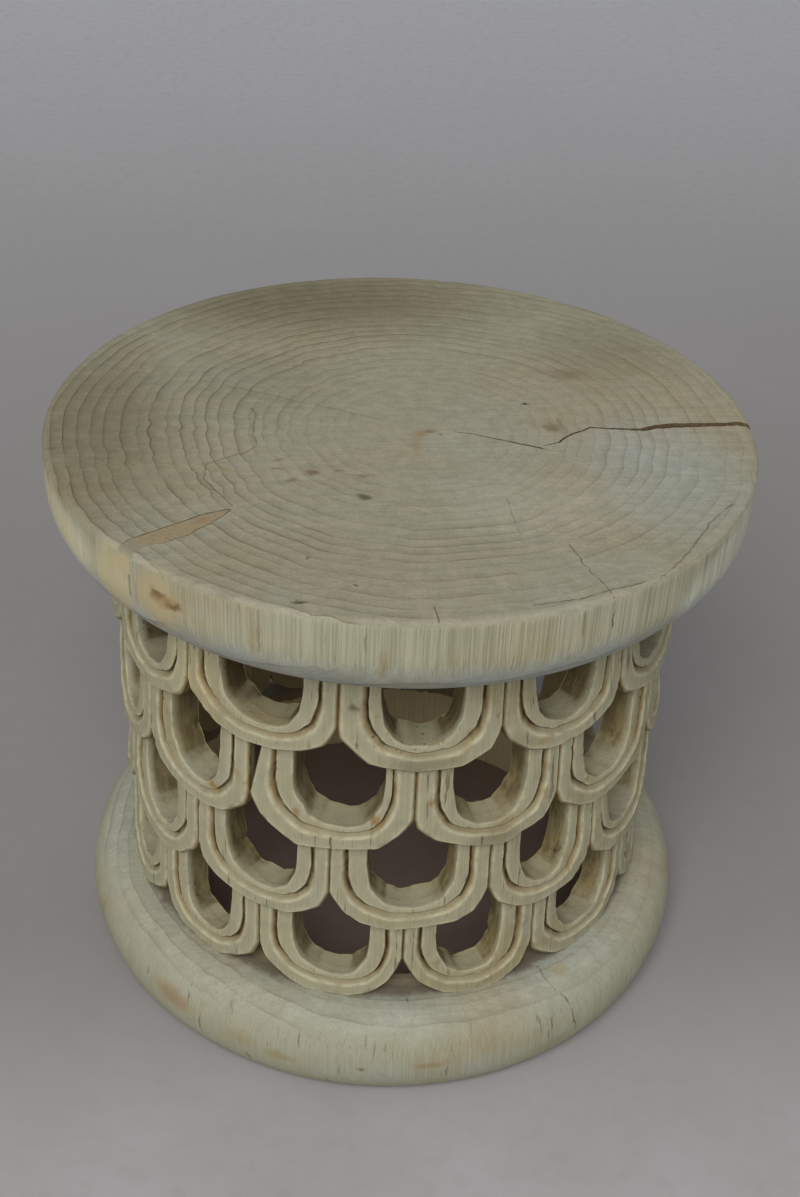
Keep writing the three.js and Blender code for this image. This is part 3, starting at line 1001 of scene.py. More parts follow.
@dataclass(frozen=True)
class StudioFloor(Finish):
    """Pale floor with a faint mottle, painted shade round and under the table, and paler toward the back."""

    name: str = "Studio floor"

    def wire(self, g: Graph, shader: bpy.types.Node) -> None:
        """Wire the mottle, the painted shade band round the table, the paler distance and the painted brown shade under
        the drum.
        """
        place = g.position()
        cloud = g.noise(place, 3.2, 5.0, 0.6)
        fine = g.noise(place, 60.0, 3.0, 0.6)
        _, y, _ = g.parts(place)
        colour = g.mix(g.ease(cloud, 0.35, 0.65), paint(156, 153, 153), paint(163, 161, 163))
        # Painted shade: a darker band round and behind the table.
        colour = g.mix(g.ease(y, -0.36, -0.02, 0.0, 0.8), colour, paint(124, 120, 118))
        colour = g.mix(g.ease(y, 0.3, 3.2), colour, paint(188, 188, 192))
        out = g.vector("LENGTH", g.vector("MULTIPLY", place, FLAT), output=1)
        # Painted shade, warm brown, under the drum.
        colour = g.mix(g.ease(out, 0.235, 0.17, 0.0, 0.9), colour, paint(136, 116, 106))
        colour = g.mix(g.ease(fine, 0.45, 0.75, 0.0, 0.25), colour, paint(140, 136, 136))
        g.dress(shader, colour, g.ease(cloud, 0.3, 0.7, 0.55, 0.7))


# ---- sub-assemblies ----


@dataclass(frozen=True)
class Station:
    """One line that runs round a scale's U."""

    side: float
    rise: float
    depth: float = 0.0
    groove: float = 0.0
    edge: float = 0.0


@dataclass
class Cuts:
    """Where the carver's cuts lie round the drum, as moves in degrees from even spacing, by the
    place whose right side they bound. The photograph gives these; the rest are drawn."""

    given: tuple[dict[int, float], ...] = (
        {0: 0.3, 11: -0.2, 1: -2.0, 10: -2.0},
        {0: -0.9, 11: -0.3, 10: -2.9},
        {0: 0.8, 11: -1.3, 1: -3.5, 10: -1.8},
        {0: -2.4, 11: -1.0, 10: -1.7},
    )
    spread: float = 1.1

    def moves(self, tier: int, count: int, draws: np.random.Generator) -> list[float]:
        """Moves of one tier's cuts.

        Args:
            tier: the tier, 0 at the top.
            count: scales in a tier.
            draws: random numbers.

        Returns:
            One move for each place.
        """
        drawn = draws.uniform(-self.spread, self.spread, count)
        return [self.given[tier].get(place, float(drawn[place])) for place in range(count)]


@dataclass
class ScaleShape:
    """One scale: its middle, half widths to the outline, groove and window on either side, and
    how its foot is cut."""

    tier: int
    place: int
    middle: float
    left: Triple
    right: Triple
    foot: float
    leg_end: float
    outline_cuts: Array
    outline_drops: Array
    window_cuts: Array
    rim_cuts: Array
    lean_left: float = 0.0
    lip_chips: float = 1.0


@dataclass
class ScaleDrum:
    """The openwork drum: 48 carved scales in four tiers."""

    carved_radius: float = 204.0
    hollow_radius: float = 180.0
    drum_lean: float = 0.025
    middle_height: float = 219.75
    underside: float = TOP_UNDERSIDE
    tier_feet: tuple[float, ...] = (288.5, 213.833, 140.667, 69.0)
    base_top: float = 71.0
    scales_per_tier: int = 12
    foot_drop: float = 28.5
    shingle_step: float = 7.0
    rounding_share: float = 0.45
    leg_steps: int = 13
    foot_steps: int = 52
    groove_side: float = 12.7
    window_side: float = 24.7
    wall_side: float = 20.0
    groove_from_cut: float = 12.9
    window_from_cut: float = 24.9
    cut_overlap: float = 0.1
    width_wobble: float = 1.6
    cut_counts: tuple[int, int, int] = (7, 7, 8)
    cut_jitter: float = 0.35
    foot_drops: Pair = (-2.8, 1.2)
    chip_share: Pair = (0.3, 1.3)
    crease: float = 24.0
    inner_band_start: float = 13.9
    inner_foot_share: float = 0.324
    outline_fullness: float = 2.0
    window_fullness: float = 2.5
    tuck: float = 0.5
    cuts: Cuts = field(default_factory=Cuts)
    seen_corners: dict[tuple[int, int], tuple[Pair, ...]] = field(default_factory=lambda: {
        (0, 0): (
            (0.0, 0.0), (0.155, -4.4), (0.328, -3.6), (0.521, -2.0),
            (0.712, -3.0), (0.85, 1.5), (0.93, -0.5), (1.0, 0.0),
        ),
        (1, 11): ((0.0, 0.0), (0.196, 2.7), (0.309, -1.9), (0.507, -1.2), (0.641, -7.0), (0.82, -1.0), (1.0, 0.0)),
        (3, 11): (
            (0.0, 10.0), (0.205, 5.0), (0.317, 0.0), (0.438, -1.0),
            (0.609, -2.5), (0.726, 0.0), (0.873, 2.5), (1.0, 3.0),
        ),
        (3, 0): ((0.0, 4.0), (0.2, -0.8), (0.359, -2.0), (0.516, -1.5), (0.653, -0.7), (0.789, 4.0), (1.0, 10.0)),
    })
    seen_widths: dict[tuple[int, int], tuple[float, ...]] = field(default_factory=lambda: {
        (0, 0): (35.5, 41.7, 27.0, 28.7),
        (1, 0): (39.0, 38.0, 29.0, 26.0),
        (1, 11): (46.0, 37.0, 32.0, 32.0),
        (2, 0): (47.0, 42.5, 32.0, 32.0),
    })
    seen_leans: dict[tuple[int, int], float] = field(default_factory=lambda: {(1, 11): 9.6})

    def build(self, finish: bpy.types.Material) -> None:
        """Build all the scales.

        Args:
            finish: their material.
        """
        draws = np.random.default_rng(5)
        stations = self._stations()
        above: Optional[Curve] = None
        for tier in range(len(self.tier_feet)):
            shapes = self._tier(tier, draws)
            for shape in shapes:
                self._scale(shape, stations, above, finish)
            above = self._lower_edge(shapes)

    def half_pitch(self) -> float:
        """Half of an even scale's width, round the carved face."""
        return math.pi * self.carved_radius / self.scales_per_tier

    def _stations(self) -> list[Station]:
        """The lines of a scale's section, in order: across its front from the outline to the
        window, through the wall, and back along the inside."""
        front = [Station(side, rise, groove=groove, edge=edge) for side, rise, groove, edge in (
            (0.0, -2.6, 0.9, 0.0), (0.7, -1.6, 0.5, 0.0), (1.5, -0.6, 0.1, 0.4), (2.1, 0.0, 0.0, 0.8),
            (3.2, 0.0, 0.0, 0.2), (5.5, 0.0, 0.0, 0.0), (8.0, 0.0, 0.0, 0.0), (9.3, 0.05, 0.0, 0.4),
            (9.9, 0.0, 0.0, 1.0), (10.2, -0.3, 0.0, 0.7), (11.6, -1.9, 0.45, 0.1), (12.8, -3.5, 0.85, 0.0),
            (13.45, -4.4, 0.95, 0.0), (13.85, -4.6, 1.0, 0.0), (14.05, -4.1, 0.9, 0.0), (14.3, -2.9, 0.4, 0.3),
            (14.8, -2.35, 0.0, 0.7), (16.5, -2.2, 0.0, 0.1), (19.0, -2.3, 0.0, 0.0), (21.5, -2.5, 0.0, 0.0),
            (23.4, -2.9, 0.0, 0.2), (24.2, -3.2, 0.0, 0.8), (24.6, -3.7, 0.0, 0.7), (24.7, -4.5, 0.0, 0.2),
        )]
        lip, root = front[-1], front[0]
        through = [Station(lip.side, lip.rise, share) for share in (0.07, 0.18, 0.32, 0.46, 0.6, 0.74, 0.86, 0.94, 1.0)]
        inside = [Station(side, root.rise, 1.0) for side in (20.0, 15.0, 10.0, 5.0, 0.0)]
        outside = [Station(root.side, root.rise, share) for share in (0.84, 0.66, 0.48, 0.3, 0.12)]
        return front + through + inside + outside

    def _tier(self, tier: int, draws: np.random.Generator) -> list[ScaleShape]:
        """Sizes of one tier's scales, with the carver's unevenness."""
        count = self.scales_per_tier
        pitch = 360.0 / count
        offset = 0.0 if tier % 2 == 0 else 0.5
        moves = [math.radians(move) * self.carved_radius for move in self.cuts.moves(tier, count, draws)]
        leg_end = self.underside if tier == 0 else self.tier_feet[tier - 1] + self.foot_drop
        shapes = []
        for place in range(count):
            key = (tier, place)
            wide_left = self.half_pitch() - moves[(place - 1) % count] + self.cut_overlap
            wide_right = self.half_pitch() + moves[place] + self.cut_overlap
            wobble = draws.uniform(-self.width_wobble, self.width_wobble, 4)
            jitter = draws.uniform(-self.cut_jitter, self.cut_jitter, (3, 16))
            even = np.tile((wide_left, wide_right), 2) - np.repeat((self.groove_from_cut, self.window_from_cut), 2)
            found = self.seen_widths.get(key, even + wobble)
            outline, window, rim = (
                np.concatenate(([0.0], (np.arange(1, number) + moved[1:number]) / number, [1.0]))
                for number, moved in zip(self.cut_counts, jitter)
            )
            drops = draws.uniform(*self.foot_drops, len(outline)) * smooth(1.0 - np.abs(2.0 * outline - 1.0), 0.0, 0.4)
            if key in self.seen_corners:
                outline, drops = np.array(self.seen_corners[key]).T
            shapes.append(ScaleShape(
                tier=tier, place=place, middle=pitch * (place + offset),
                left=(wide_left, found[0], found[2]), right=(wide_right, found[1], found[3]),
                foot=self.tier_feet[tier], leg_end=leg_end,
                outline_cuts=outline, outline_drops=drops, window_cuts=window, rim_cuts=rim,
                lean_left=self.seen_leans.get(key, 0.0), lip_chips=float(draws.uniform(*self.chip_share)),
            ))
        return shapes

    def _half_width(self, widths: Triple, side: float) -> float:
        """A line's half width on one side of the scale."""
        return float(np.interp(side, (0.0, self.groove_side, self.window_side), widths))

    def _foot_curve(self, shape: ScaleShape, station: Station, share: Array) -> Curve:
        """A line's round part, from the right leg to the left.

        Args:
            shape: the scale.
            station: the line.
            share: places along it, from 0 to 1.

        Returns:
            Distances across from the scale's middle, and heights.
        """
        side = station.side
        depth = self.foot_drop + self.rounding_share * side
        beyond = max(0.0, side - self.inner_band_start)
        lift = side if beyond == 0.0 else self.inner_band_start + beyond * self.inner_foot_share
        fullness = self.outline_fullness + (self.window_fullness - self.outline_fullness) * side / self.window_side
        turn = math.pi * share
        cosine, sine = np.cos(turn), np.sin(turn)
        right, left = self._half_width(shape.right, side), self._half_width(shape.left, side)
        across = np.where(cosine >= 0.0, right, left) * np.sign(cosine) * np.abs(cosine) ** (2.0 / fullness)
        height = shape.foot + lift + depth - depth * np.abs(sine) ** (2.0 / fullness)
        return across, height

    def _cut_curve(self, shape: ScaleShape, station: Station, share: Array) -> Curve:
        """A line's round part as the knife left it, in short straight cuts."""
        inward = station.side / self.window_side
        if station.depth > 0.0 and station.side > self.wall_side:
            first = self._faceted(shape, station, share, shape.window_cuts, 0.65)
            last = self._faceted(shape, station, share, shape.rim_cuts, 0.92)
            return tuple(a + (b - a) * station.depth for a, b in zip(first, last))
        if inward < 0.6:
            across, height = self._faceted(shape, station, share, shape.outline_cuts, 0.72 - 0.57 * inward)
            fade = max(0.0, 1.0 - station.side / 16.0)
            return across, height + fade * np.interp(share, shape.outline_cuts, shape.outline_drops)
        return self._faceted(shape, station, share, shape.window_cuts, 0.45 + 0.2 * inward)

    def _faceted(self, shape: ScaleShape, station: Station, share: Array, knots: Array, amount: float) -> Curve:
        """A line's round part, drawn toward the straight cuts between some knots."""
        even = self._foot_curve(shape, station, share)
        corners = self._foot_curve(shape, station, knots)
        return tuple(
            value * (1.0 - amount) + np.interp(share, knots, corner) * amount for value, corner in zip(even, corners)
        )

    def _lower_edge(self, shapes: list[ScaleShape]) -> Curve:
        """A tier's lower edge all round: angles in degrees and heights, in order."""
        share = self._foot_shares()
        outline = Station(0.0, 0.0)
        angles, heights = [], []
        for shape in shapes:
            across, height = self._cut_curve(shape, outline, share)
            angles.append(shape.middle + np.degrees(across[::-1] / self.carved_radius))
            heights.append(height[::-1])
        angle, height = np.concatenate(angles), np.concatenate(heights)
        angle = np.concatenate((angle - 360.0, angle, angle + 360.0))
        order = np.argsort(angle)
        return angle[order], np.tile(height, 3)[order]

    def _foot_shares(self) -> Array:
        """Places along a line's round part, from 0 at its right end to 1 at its left."""
        return np.linspace(0.0, 1.0, self.foot_steps + 1)

    def _scale(
        self, shape: ScaleShape, stations: list[Station], above: Optional[Curve], finish: bpy.types.Material,
    ) -> None:
        """Build one scale and put it in its place.

        Args:
            shape: the scale.
            stations: the lines of its section.
            above: lower edge of the tier above, or None under the top.
            finish: its material.
        """
        lines = [self._line(shape, station, above) for station in stations]
        across, height = (np.array(values) for values in zip(*lines))
        side, rise, depth, groove, edge = (
            np.array([[getattr(station, key)] for station in stations])
            for key in ("side", "rise", "depth", "groove", "edge")
        )

        plain = self._on_drum(shape, across, height, self._face(shape, height) + rise)
        inward = self._inward(across, height)
        foot_part = self._foot_part()[None, :]
        on_wall = side > self.wall_side
        in_plane = NOISE.at(plain, 13.0) * 0.45 + NOISE.at(plain, 5.0) * 0.22
        near_window = smooth(side, 14.0, 24.0) * (0.6 + 1.5 * depth)
        near_outline = smooth(-side, -9.0, -1.0) * foot_part * 0.8
        groove_wander = smooth(side, 8.0, 11.0) * smooth(-side, -17.0, -14.5) * 1.1
        rough_wall = NOISE.at(plain * (1.0, 1.0, 0.45), 7.0) * 0.6 * smooth(depth, 0.1, 0.6) * on_wall
        chips = np.maximum(CHIP_NOISE.at(plain, 7.0) - 0.22, 0.0) * smooth(depth, 0.72, 1.0) * on_wall
        chips = chips * -5.5 * shape.lip_chips
        push = in_plane * (near_window + near_outline + groove_wander) + rough_wall + chips
        across = across + inward[0] * push
        height = height + inward[1] * push * (1.0 - smooth(height, shape.leg_end - 12.0, shape.leg_end))

        radius = (self._face(shape, height) + rise) * (1.0 - depth) + self.hollow_radius * depth
        front = 1.0 - smooth(depth, 0.0, 0.2)
        knife = NOISE.at(plain, 30.0) * 0.35 + FACETS.at(plain, 15.0) * 0.55 + NOISE.at(plain, 5.0) * 0.09
        nick = np.maximum(CHIP_NOISE.at(plain, 4.2) - 0.40, 0.0) * 2.8 * edge
        gouge = NOISE.at(plain, 17.0) * 1.2 + NOISE.at(plain, 6.0) * 0.5
        radius = radius + (knife - nick) * front + gouge * smooth(depth, 0.8, 1.0)
        points = self._on_drum(shape, across, height, radius).reshape(-1, 3)

        name = f"tier_{shape.tier + 1}_scale_{shape.place + 1:02d}"
        masks = {Mask.EDGE: edge, Mask.GROOVE: groove, Mask.HOLLOW: depth}
        piece = mesh_object(f"carved_{name}", points, tube_faces(*across.shape), {
            mask: np.broadcast_to(values, across.shape) for mask, values in masks.items()
        })
        shade(piece, self.crease)
        fit_out(piece, finish, [name])

    def _foot_part(self) -> Array:
        """1 round a scale's foot and 0 up its legs, along a line."""
        share = self._foot_shares()
        ease = smooth(np.minimum(share, 1.0 - share), 0.0, 0.08)
        legs = np.zeros(self.leg_steps)
        return np.concatenate((legs, ease, legs))

    def _line(self, shape: ScaleShape, station: Station, above: Optional[Curve]) -> Curve:
        """One whole line: down the right leg, round the foot and up the left leg.

        Args:
            shape: the scale.
            station: the line.
            above: lower edge of the tier above, or None under the top.

        Returns:
            Distances across and heights.
        """
        foot = self._cut_curve(shape, station, self._foot_shares())
        share = np.arange(1, self.leg_steps + 1) / self.leg_steps
        legs = []
        for index, lean in ((0, 0.0), (-1, shape.lean_left)):
            start_across, start_height = (values[index] for values in foot)
            end_across = start_across + lean * max(0.0, 1.0 - station.side / self.inner_band_start)
            end_height = self.underside + self.tuck
            if above is not None:
                angle = shape.middle + math.degrees(end_across / self.carved_radius)
                end_height = float(np.interp(angle, *above)) + self.tuck
            end_height = max(end_height, start_height + 0.5)
            ends = ((start_across, end_across), (start_height, end_height))
            legs.append([start + (end - start) * share for start, end in ends])
        across, height = (
            np.concatenate((right[::-1], middle, left)) for right, middle, left in zip(legs[0], foot, legs[1])
        )
        if shape.tier == len(self.tier_feet) - 1:
            height = np.maximum(height, self.base_top - self.tuck)
        return across, height

    def _face(self, shape: ScaleShape, height: Array) -> Array:
        """Radius of a scale's face: the drum leans out, and each scale tilts out at its foot."""
        tilt = self.shingle_step * (0.5 - (height - shape.foot) / (shape.leg_end - shape.foot))
        return self.carved_radius + self.drum_lean * (height - self.middle_height) + tilt

    def _on_drum(self, shape: ScaleShape, across: Array, height: Array, radius: Array) -> Array:
        """Points on the drum from distances across, heights and radii."""
        return round_axis(radius, math.radians(shape.middle) + across / self.carved_radius, height)

    @staticmethod
    def _inward(across: Array, height: Array) -> Curve:
        """Direction toward the window's middle, square to the lines."""
        run, climb = np.gradient(across, axis=1), np.gradient(height, axis=1)
        length = np.maximum(np.hypot(run, climb), 1e-6)
        return climb / length, -run / length


def revolve(name: str, profile: Array, segments: int, shape_point: Callable[[Array], Array]) -> bpy.types.Object:
    """Turn a profile round the table's axis.

    Args:
        name: the object's name.
        profile: radius and height pairs in millimetres, closed, or from axis to axis.
        segments: steps round.
        shape_point: moves the turned points a little, to make them uneven.

    Returns:
        The mesh object.
    """
    poles = profile[0][0] == 0.0
    body = profile[1:-1] if poles else profile
    turn = np.linspace(0.0, 2.0 * math.pi, segments, endpoint=False)
    points = shape_point(round_axis(body[:, :1], turn, body[:, 1:])).reshape(-1, 3)
    rows = len(body)
    faces = grid_faces(rows, segments, not poles, True)
    if poles:
        count = len(points)
        ends = np.array([[0.0, 0.0, profile[0][1]], [0.0, 0.0, profile[-1][1]]])
        points = np.concatenate((points, ends))
        for k in range(segments):
            following = (k + 1) % segments
            faces.append([count, following, k])
            faces.append([count + 1, (rows - 1) * segments + k, (rows - 1) * segments + following])
    return mesh_object(name, points, faces)


def arc(centre: Pair, reach: Pair, start: float, end: float, steps: int) -> list[Pair]:
    """Points of a quarter ellipse, its first point left out.

    Args:
        centre: its middle.
        reach: its half axes.
        start: first angle in degrees.
        end: last angle in degrees.
        steps: how many points.

    Returns:
        Radius and height pairs.
    """
    angles = np.radians(np.linspace(start, end, steps + 1)[1:])
    return [(centre[0] + reach[0] * math.cos(a), centre[1] + reach[1] * math.sin(a)) for a in angles]


def straight(start: Pair, end: Pair, steps: int) -> list[Pair]:
    """Points along a straight run, its first point left out."""
    return [tuple(np.array(start) + (np.array(end) - np.array(start)) * k / steps) for k in range(1, steps + 1)]


@dataclass
class TopSlab:
    """The thick round top, its drying cracks and the filler wedge let into it."""

    height: float = TOP_HEIGHT
    underside: float = TOP_UNDERSIDE
    radius: float = 250.0
    arris: float = 4.0
    under_in: float = 37.0
    under_up: float = 40.0
    segments: int = 600
    worn: float = 0.15
    crease: float = 28.0
    crack_depth: float = 24.0
    heart_crack_depth: float = 10.0
    lip_depth: float = 3.0
    filler_depth: float = 15.0
    glue_line: float = 0.75
    tool_rise: float = 4.0
    main_crack: tuple[Triple, ...] = (
        (95.0, -38.0, 0.5), (99.0, -36.2, 0.8), (107.0, -33.0, 1.2), (112.0, -26.5, 1.5), (116.0, -23.0, 1.3),
        (120.0, -20.0, 1.7), (126.5, -16.5, 1.6), (133.0, -11.5, 1.9), (139.0, -12.8, 1.7), (145.0, -13.5, 2.1),
        (152.0, -14.0, 2.3), (160.0, -15.0, 2.6), (168.0, -15.5, 3.0), (172.0, -13.6, 2.7), (175.0, -12.5, 3.2),
        (180.0, -10.0, 3.4), (186.0, -9.6, 3.9), (190.0, -8.7, 4.0), (205.0, -8.6, 4.7), (220.0, -8.0, 5.2),
        (232.0, -8.2, 5.4), (240.0, -7.5, 5.7), (246.0, -10.0, 6.0), (252.0, -14.5, 6.2), (258.0, -19.0, 6.2),
    )
    heart_crack: tuple[Triple, ...] = (
        (35.0, -17.0, 0.4), (41.0, -18.3, 0.7), (48.0, -20.2, 0.8), (55.0, -23.6, 1.0), (62.0, -27.0, 1.3),
        (70.0, -30.0, 1.2), (78.0, -34.0, 1.7), (86.0, -37.6, 1.9), (92.0, -40.6, 1.8), (96.0, -42.6, 0.7),
    )
    split_lip: tuple[Triple, ...] = (
        (168.0, -17.5, 0.6), (173.0, -15.6, 2.6), (180.0, -12.6, 3.4), (190.0, -11.4, 3.6), (202.0, -11.2, 3.0),
        (214.0, -10.6, 2.4), (224.0, -10.4, 1.2),
    )
    filler_outline: tuple[Pair, ...] = (
        (-120.5, -118.0), (-128.0, -120.6), (-138.0, -124.2), (-147.0, -130.4), (-158.0, -137.0), (-170.0, -145.2),
        (-182.0, -152.0), (-190.0, -161.0), (-199.0, -171.0), (-190.0, -179.0), (-181.0, -169.0), (-175.0, -161.8),
        (-168.0, -158.6), (-162.0, -157.0), (-155.0, -152.2), (-148.0, -149.0), (-141.0, -141.4), (-134.0, -135.5),
        (-125.5, -126.0),
    )

    def build(self, wood: bpy.types.Material, torn: bpy.types.Material, paste: bpy.types.Material) -> None:
        """Build the slab and the filler.

        Args:
            wood: finish of the slab.
            torn: finish of the crack's walls.
            paste: finish of the filler.
        """
        slab = revolve("log_top", self._profile(), self.segments, self._uneven)
        wedge = self._prism("wedge", self._ragged(self.filler_outline, 0.0, 3), self.filler_depth)
        filler = slab.copy()
        filler.data = slab.data.copy()
        filler.name = "filler_wedge"
        bpy.context.scene.collection.objects.link(filler)
        filler.data.materials.append(paste)
        wedge.data.materials.append(paste)
        carve(filler, wedge, "INTERSECT")
        slab.data.materials.append(wood)
        cutters = (
            self._prism("pocket", self._ragged(self.filler_outline, self.glue_line, 7), self.filler_depth),
            self._blade("main_crack", self.main_crack, self.crack_depth, 0.35),
            self._blade("heart_crack", self.heart_crack, self.heart_crack_depth, 0.5),
            self._blade("split_lip", self.split_lip, self.lip_depth, 0.7),
        )
        for cutter in cutters:
            cutter.data.materials.append(torn)
            carve(slab, cutter, "DIFFERENCE")
        for piece in (slab, filler):
            shade(piece, self.crease)
        fit_out(slab, wood, ["top_slab"])
        fit_out(filler, paste, ["crack_filler"])

    def _profile(self) -> Array:
        """The slab's section, from the axis on top to the axis underneath."""
        flat = self.radius - self.arris
        points = [(0.0, self.height), (3.0, self.height)]
        points += straight((3.0, self.height), (flat - 2.0, self.height), 46)
        points += [(flat, self.height)]
        points += arc((flat, self.height - self.arris), (self.arris, self.arris), 90.0, 0.0, 6)
        under = (self.radius - self.under_in, self.underside + self.under_up)
        points += straight((self.radius, self.height - self.arris), (self.radius, under[1]), 9)
        points += arc(under, (self.under_in, self.under_up), 0.0, -90.0, 16)
        points += straight((under[0], self.underside), (4.0, self.underside), 16)
        points += [(0.0, self.underside)]
        return np.array(points)

    def _uneven(self, points: Array) -> Array:
        """Wear the arris and leave the turned rim slightly out of true."""
        radius = np.hypot(points[..., 0], points[..., 1])
        height = points[..., 2]
        outward = points * FLAT / np.maximum(radius, 1.0)[..., None]
        at_edge = smooth(radius, self.radius - 7.0, self.radius - 1.5)
        at_arris = at_edge * smooth(height, self.height - 9.0, self.height - 1.0)
        at_rim = smooth(radius, self.radius - 25.0, self.radius - 6.0)
        slow = 0.5 + 0.5 * NOISE.at(points * (1.0, 1.0, 0.4), 62.0)
        quick = 0.5 + 0.5 * NOISE.at(points, 11.0)
        dents = np.maximum(CHIP_NOISE.at(points, 9.0) - 0.45, 0.0)
        inward = at_rim * (0.7 * slow + 0.08 * quick) + at_arris * (0.10 * quick + 1.5 * dents)
        drop = at_arris * (self.worn * quick + 1.2 * dents)
        moved = points - outward * inward[..., None]
        moved[..., 2] -= drop
        return moved

    @staticmethod
    def _ragged(outline: Sequence[Pair], grow: float, seed: int) -> list[Pair]:
        """An outline grown by an amount, with points added between its own and moved a little.

        Args:
            outline: its x and y pairs.
            grow: how far it moves out, less near the rim.
            seed: number that the small moves follow from.

        Returns:
            The new pairs.
        """
        corners = np.array(outline)
        sides = zip(corners, np.roll(corners, -1, axis=0))
        ring = np.array([start + (end - start) * share for start, end in sides for share in (0.0, 0.34, 0.67)])
        tangent = np.roll(ring, -1, axis=0) - np.roll(ring, 1, axis=0)
        normal = np.stack((tangent[:, 1], -tangent[:, 0]), 1)
        normal /= np.linalg.norm(normal, axis=1)[:, None]
        if ((ring - corners.mean(0)) * normal).sum() < 0.0:
            normal = -normal
        near_rim = smooth(np.hypot(ring[:, 0], ring[:, 1]), 222.0, 244.0)
        small = np.random.default_rng(seed).uniform(-0.3, 0.3, len(ring)) * (1.0 if grow else 0.5)
        ring = ring + normal * (grow * (1.0 - 0.75 * near_rim) + small)[:, None]
        return [tuple(point) for point in ring]

    def _prism(self, name: str, outline: Sequence[Pair], depth: float) -> bpy.types.Object:
        """An outline pushed down from above the slab to a depth below its surface."""
        count = len(outline)
        low, high = self.height - depth, self.height + self.tool_rise
        points = np.array([(x, y, z) for z in (low, high) for x, y in outline])
        faces = [[k, (k + 1) % count, count + (k + 1) % count, count + k] for k in range(count)]
        faces += [list(range(count - 1, -1, -1)), list(range(count, 2 * count))]
        return mesh_object(name, points, faces)

    def _blade(self, name: str, line: Sequence[Triple], depth: float, floor_share: float) -> bpy.types.Object:
        """A crack as a closed blade: full width at the surface, narrower below.

        Args:
            name: the object's name.
            line: x, y and width along the crack.
            depth: its depth where it is widest, less at its narrow end.
            floor_share: how wide its floor is, as a share of the width above.

        Returns:
            The mesh object.
        """
        path = np.array(line)
        steps = np.linspace(0.0, len(path) - 1.0, (len(path) - 1) * 3 + 1)
        x, y, width = (np.interp(steps, np.arange(len(path)), values) for values in path.T)
        middle = np.stack((x, y), 1)
        tangent = np.gradient(middle, axis=0)
        normal = np.stack((-tangent[:, 1], tangent[:, 0]), 1)
        normal /= np.linalg.norm(normal, axis=1)[:, None]
        half = width / 2.0
        jag = np.random.default_rng(17).uniform(-0.14, 0.14, (2, len(steps))) * width
        deep = depth * np.clip(width / width.max(), 0.35, 1.0)
        levels = ((1.0, self.height + self.tool_rise), (1.0, self.height), (floor_share, self.height - deep))
        left, right = (
            [
                np.column_stack((middle + normal * (sign * half * share + wave)[:, None], level + 0.0 * half))
                for share, level in levels
            ]
            for sign, wave in ((1.0, jag[0]), (-1.0, jag[1]))
        )
        loops = left + right[::-1]
        return mesh_object(name, np.concatenate(loops), tube_faces(len(loops), len(steps)))


@dataclass
class BaseRing:
    """The rounded ring that the drum stands on."""

    radius: float = 238.0
    height: float = 71.0
    foot_in: float = 18.5
    foot_up: float = 33.5
    shoulder_in: float = 28.5
    hollow_radius: float = 180.0
    crease: float = 35.0
    segments: int = 600

    def build(self, wood: bpy.types.Material) -> None:
        """Build the ring.

        Args:
            wood: its finish.
        """
        ring = revolve("log_base", self._profile(), self.segments, self._uneven)
        shade(ring, self.crease)
        fit_out(ring, wood, ["base_ring"])

    def _profile(self) -> Array:
        """The ring's section, a closed loop."""
        start = (self.hollow_radius, 0.0)
        foot, shoulder = self.radius - self.foot_in, self.radius - self.shoulder_in
        points = [start]
        points += straight(start, (foot, 0.0), 4)
        points += arc((foot, self.foot_up), (self.foot_in, self.foot_up), -90.0, 0.0, 12)
        points += arc((shoulder, self.foot_up), (self.shoulder_in, self.height - self.foot_up), 0.0, 90.0, 16)
        points += straight((shoulder, self.height), (self.hollow_radius, self.height), 6)
        points += straight((self.hollow_radius, self.height), start, 9)[:-1]
        return np.array(points)

    def _uneven(self, points: Array) -> Array:
        """Leave rasp facets on the outside and gouge marks inside."""
        radius = np.hypot(points[..., 0], points[..., 1])
        outward = points * FLAT / radius[..., None]
        outside = smooth(radius, self.radius - self.shoulder_in - 8.0, self.radius - 12.0)
        outside = outside * smooth(points[..., 2], 0.0, 10.0)
        inside = smooth(-radius, -self.hollow_radius - 3.0, -self.hollow_radius)
        slow = 0.5 + 0.5 * NOISE.at(points * (1.0, 1.0, 0.5), 48.0)
        quick = 0.5 + 0.5 * NOISE.at(points, 15.0)
        gouge = NOISE.at(points * (1.0, 1.0, 0.5), 14.0)
        inward = outside * (0.7 * slow + 0.35 * quick) - inside * gouge * 0.8
        moved = points - outward * inward[..., None]
        sag = smooth(points[..., 2], 20.0, self.height) * outside * 0.4 * quick
        moved[..., 2] -= sag
        return moved


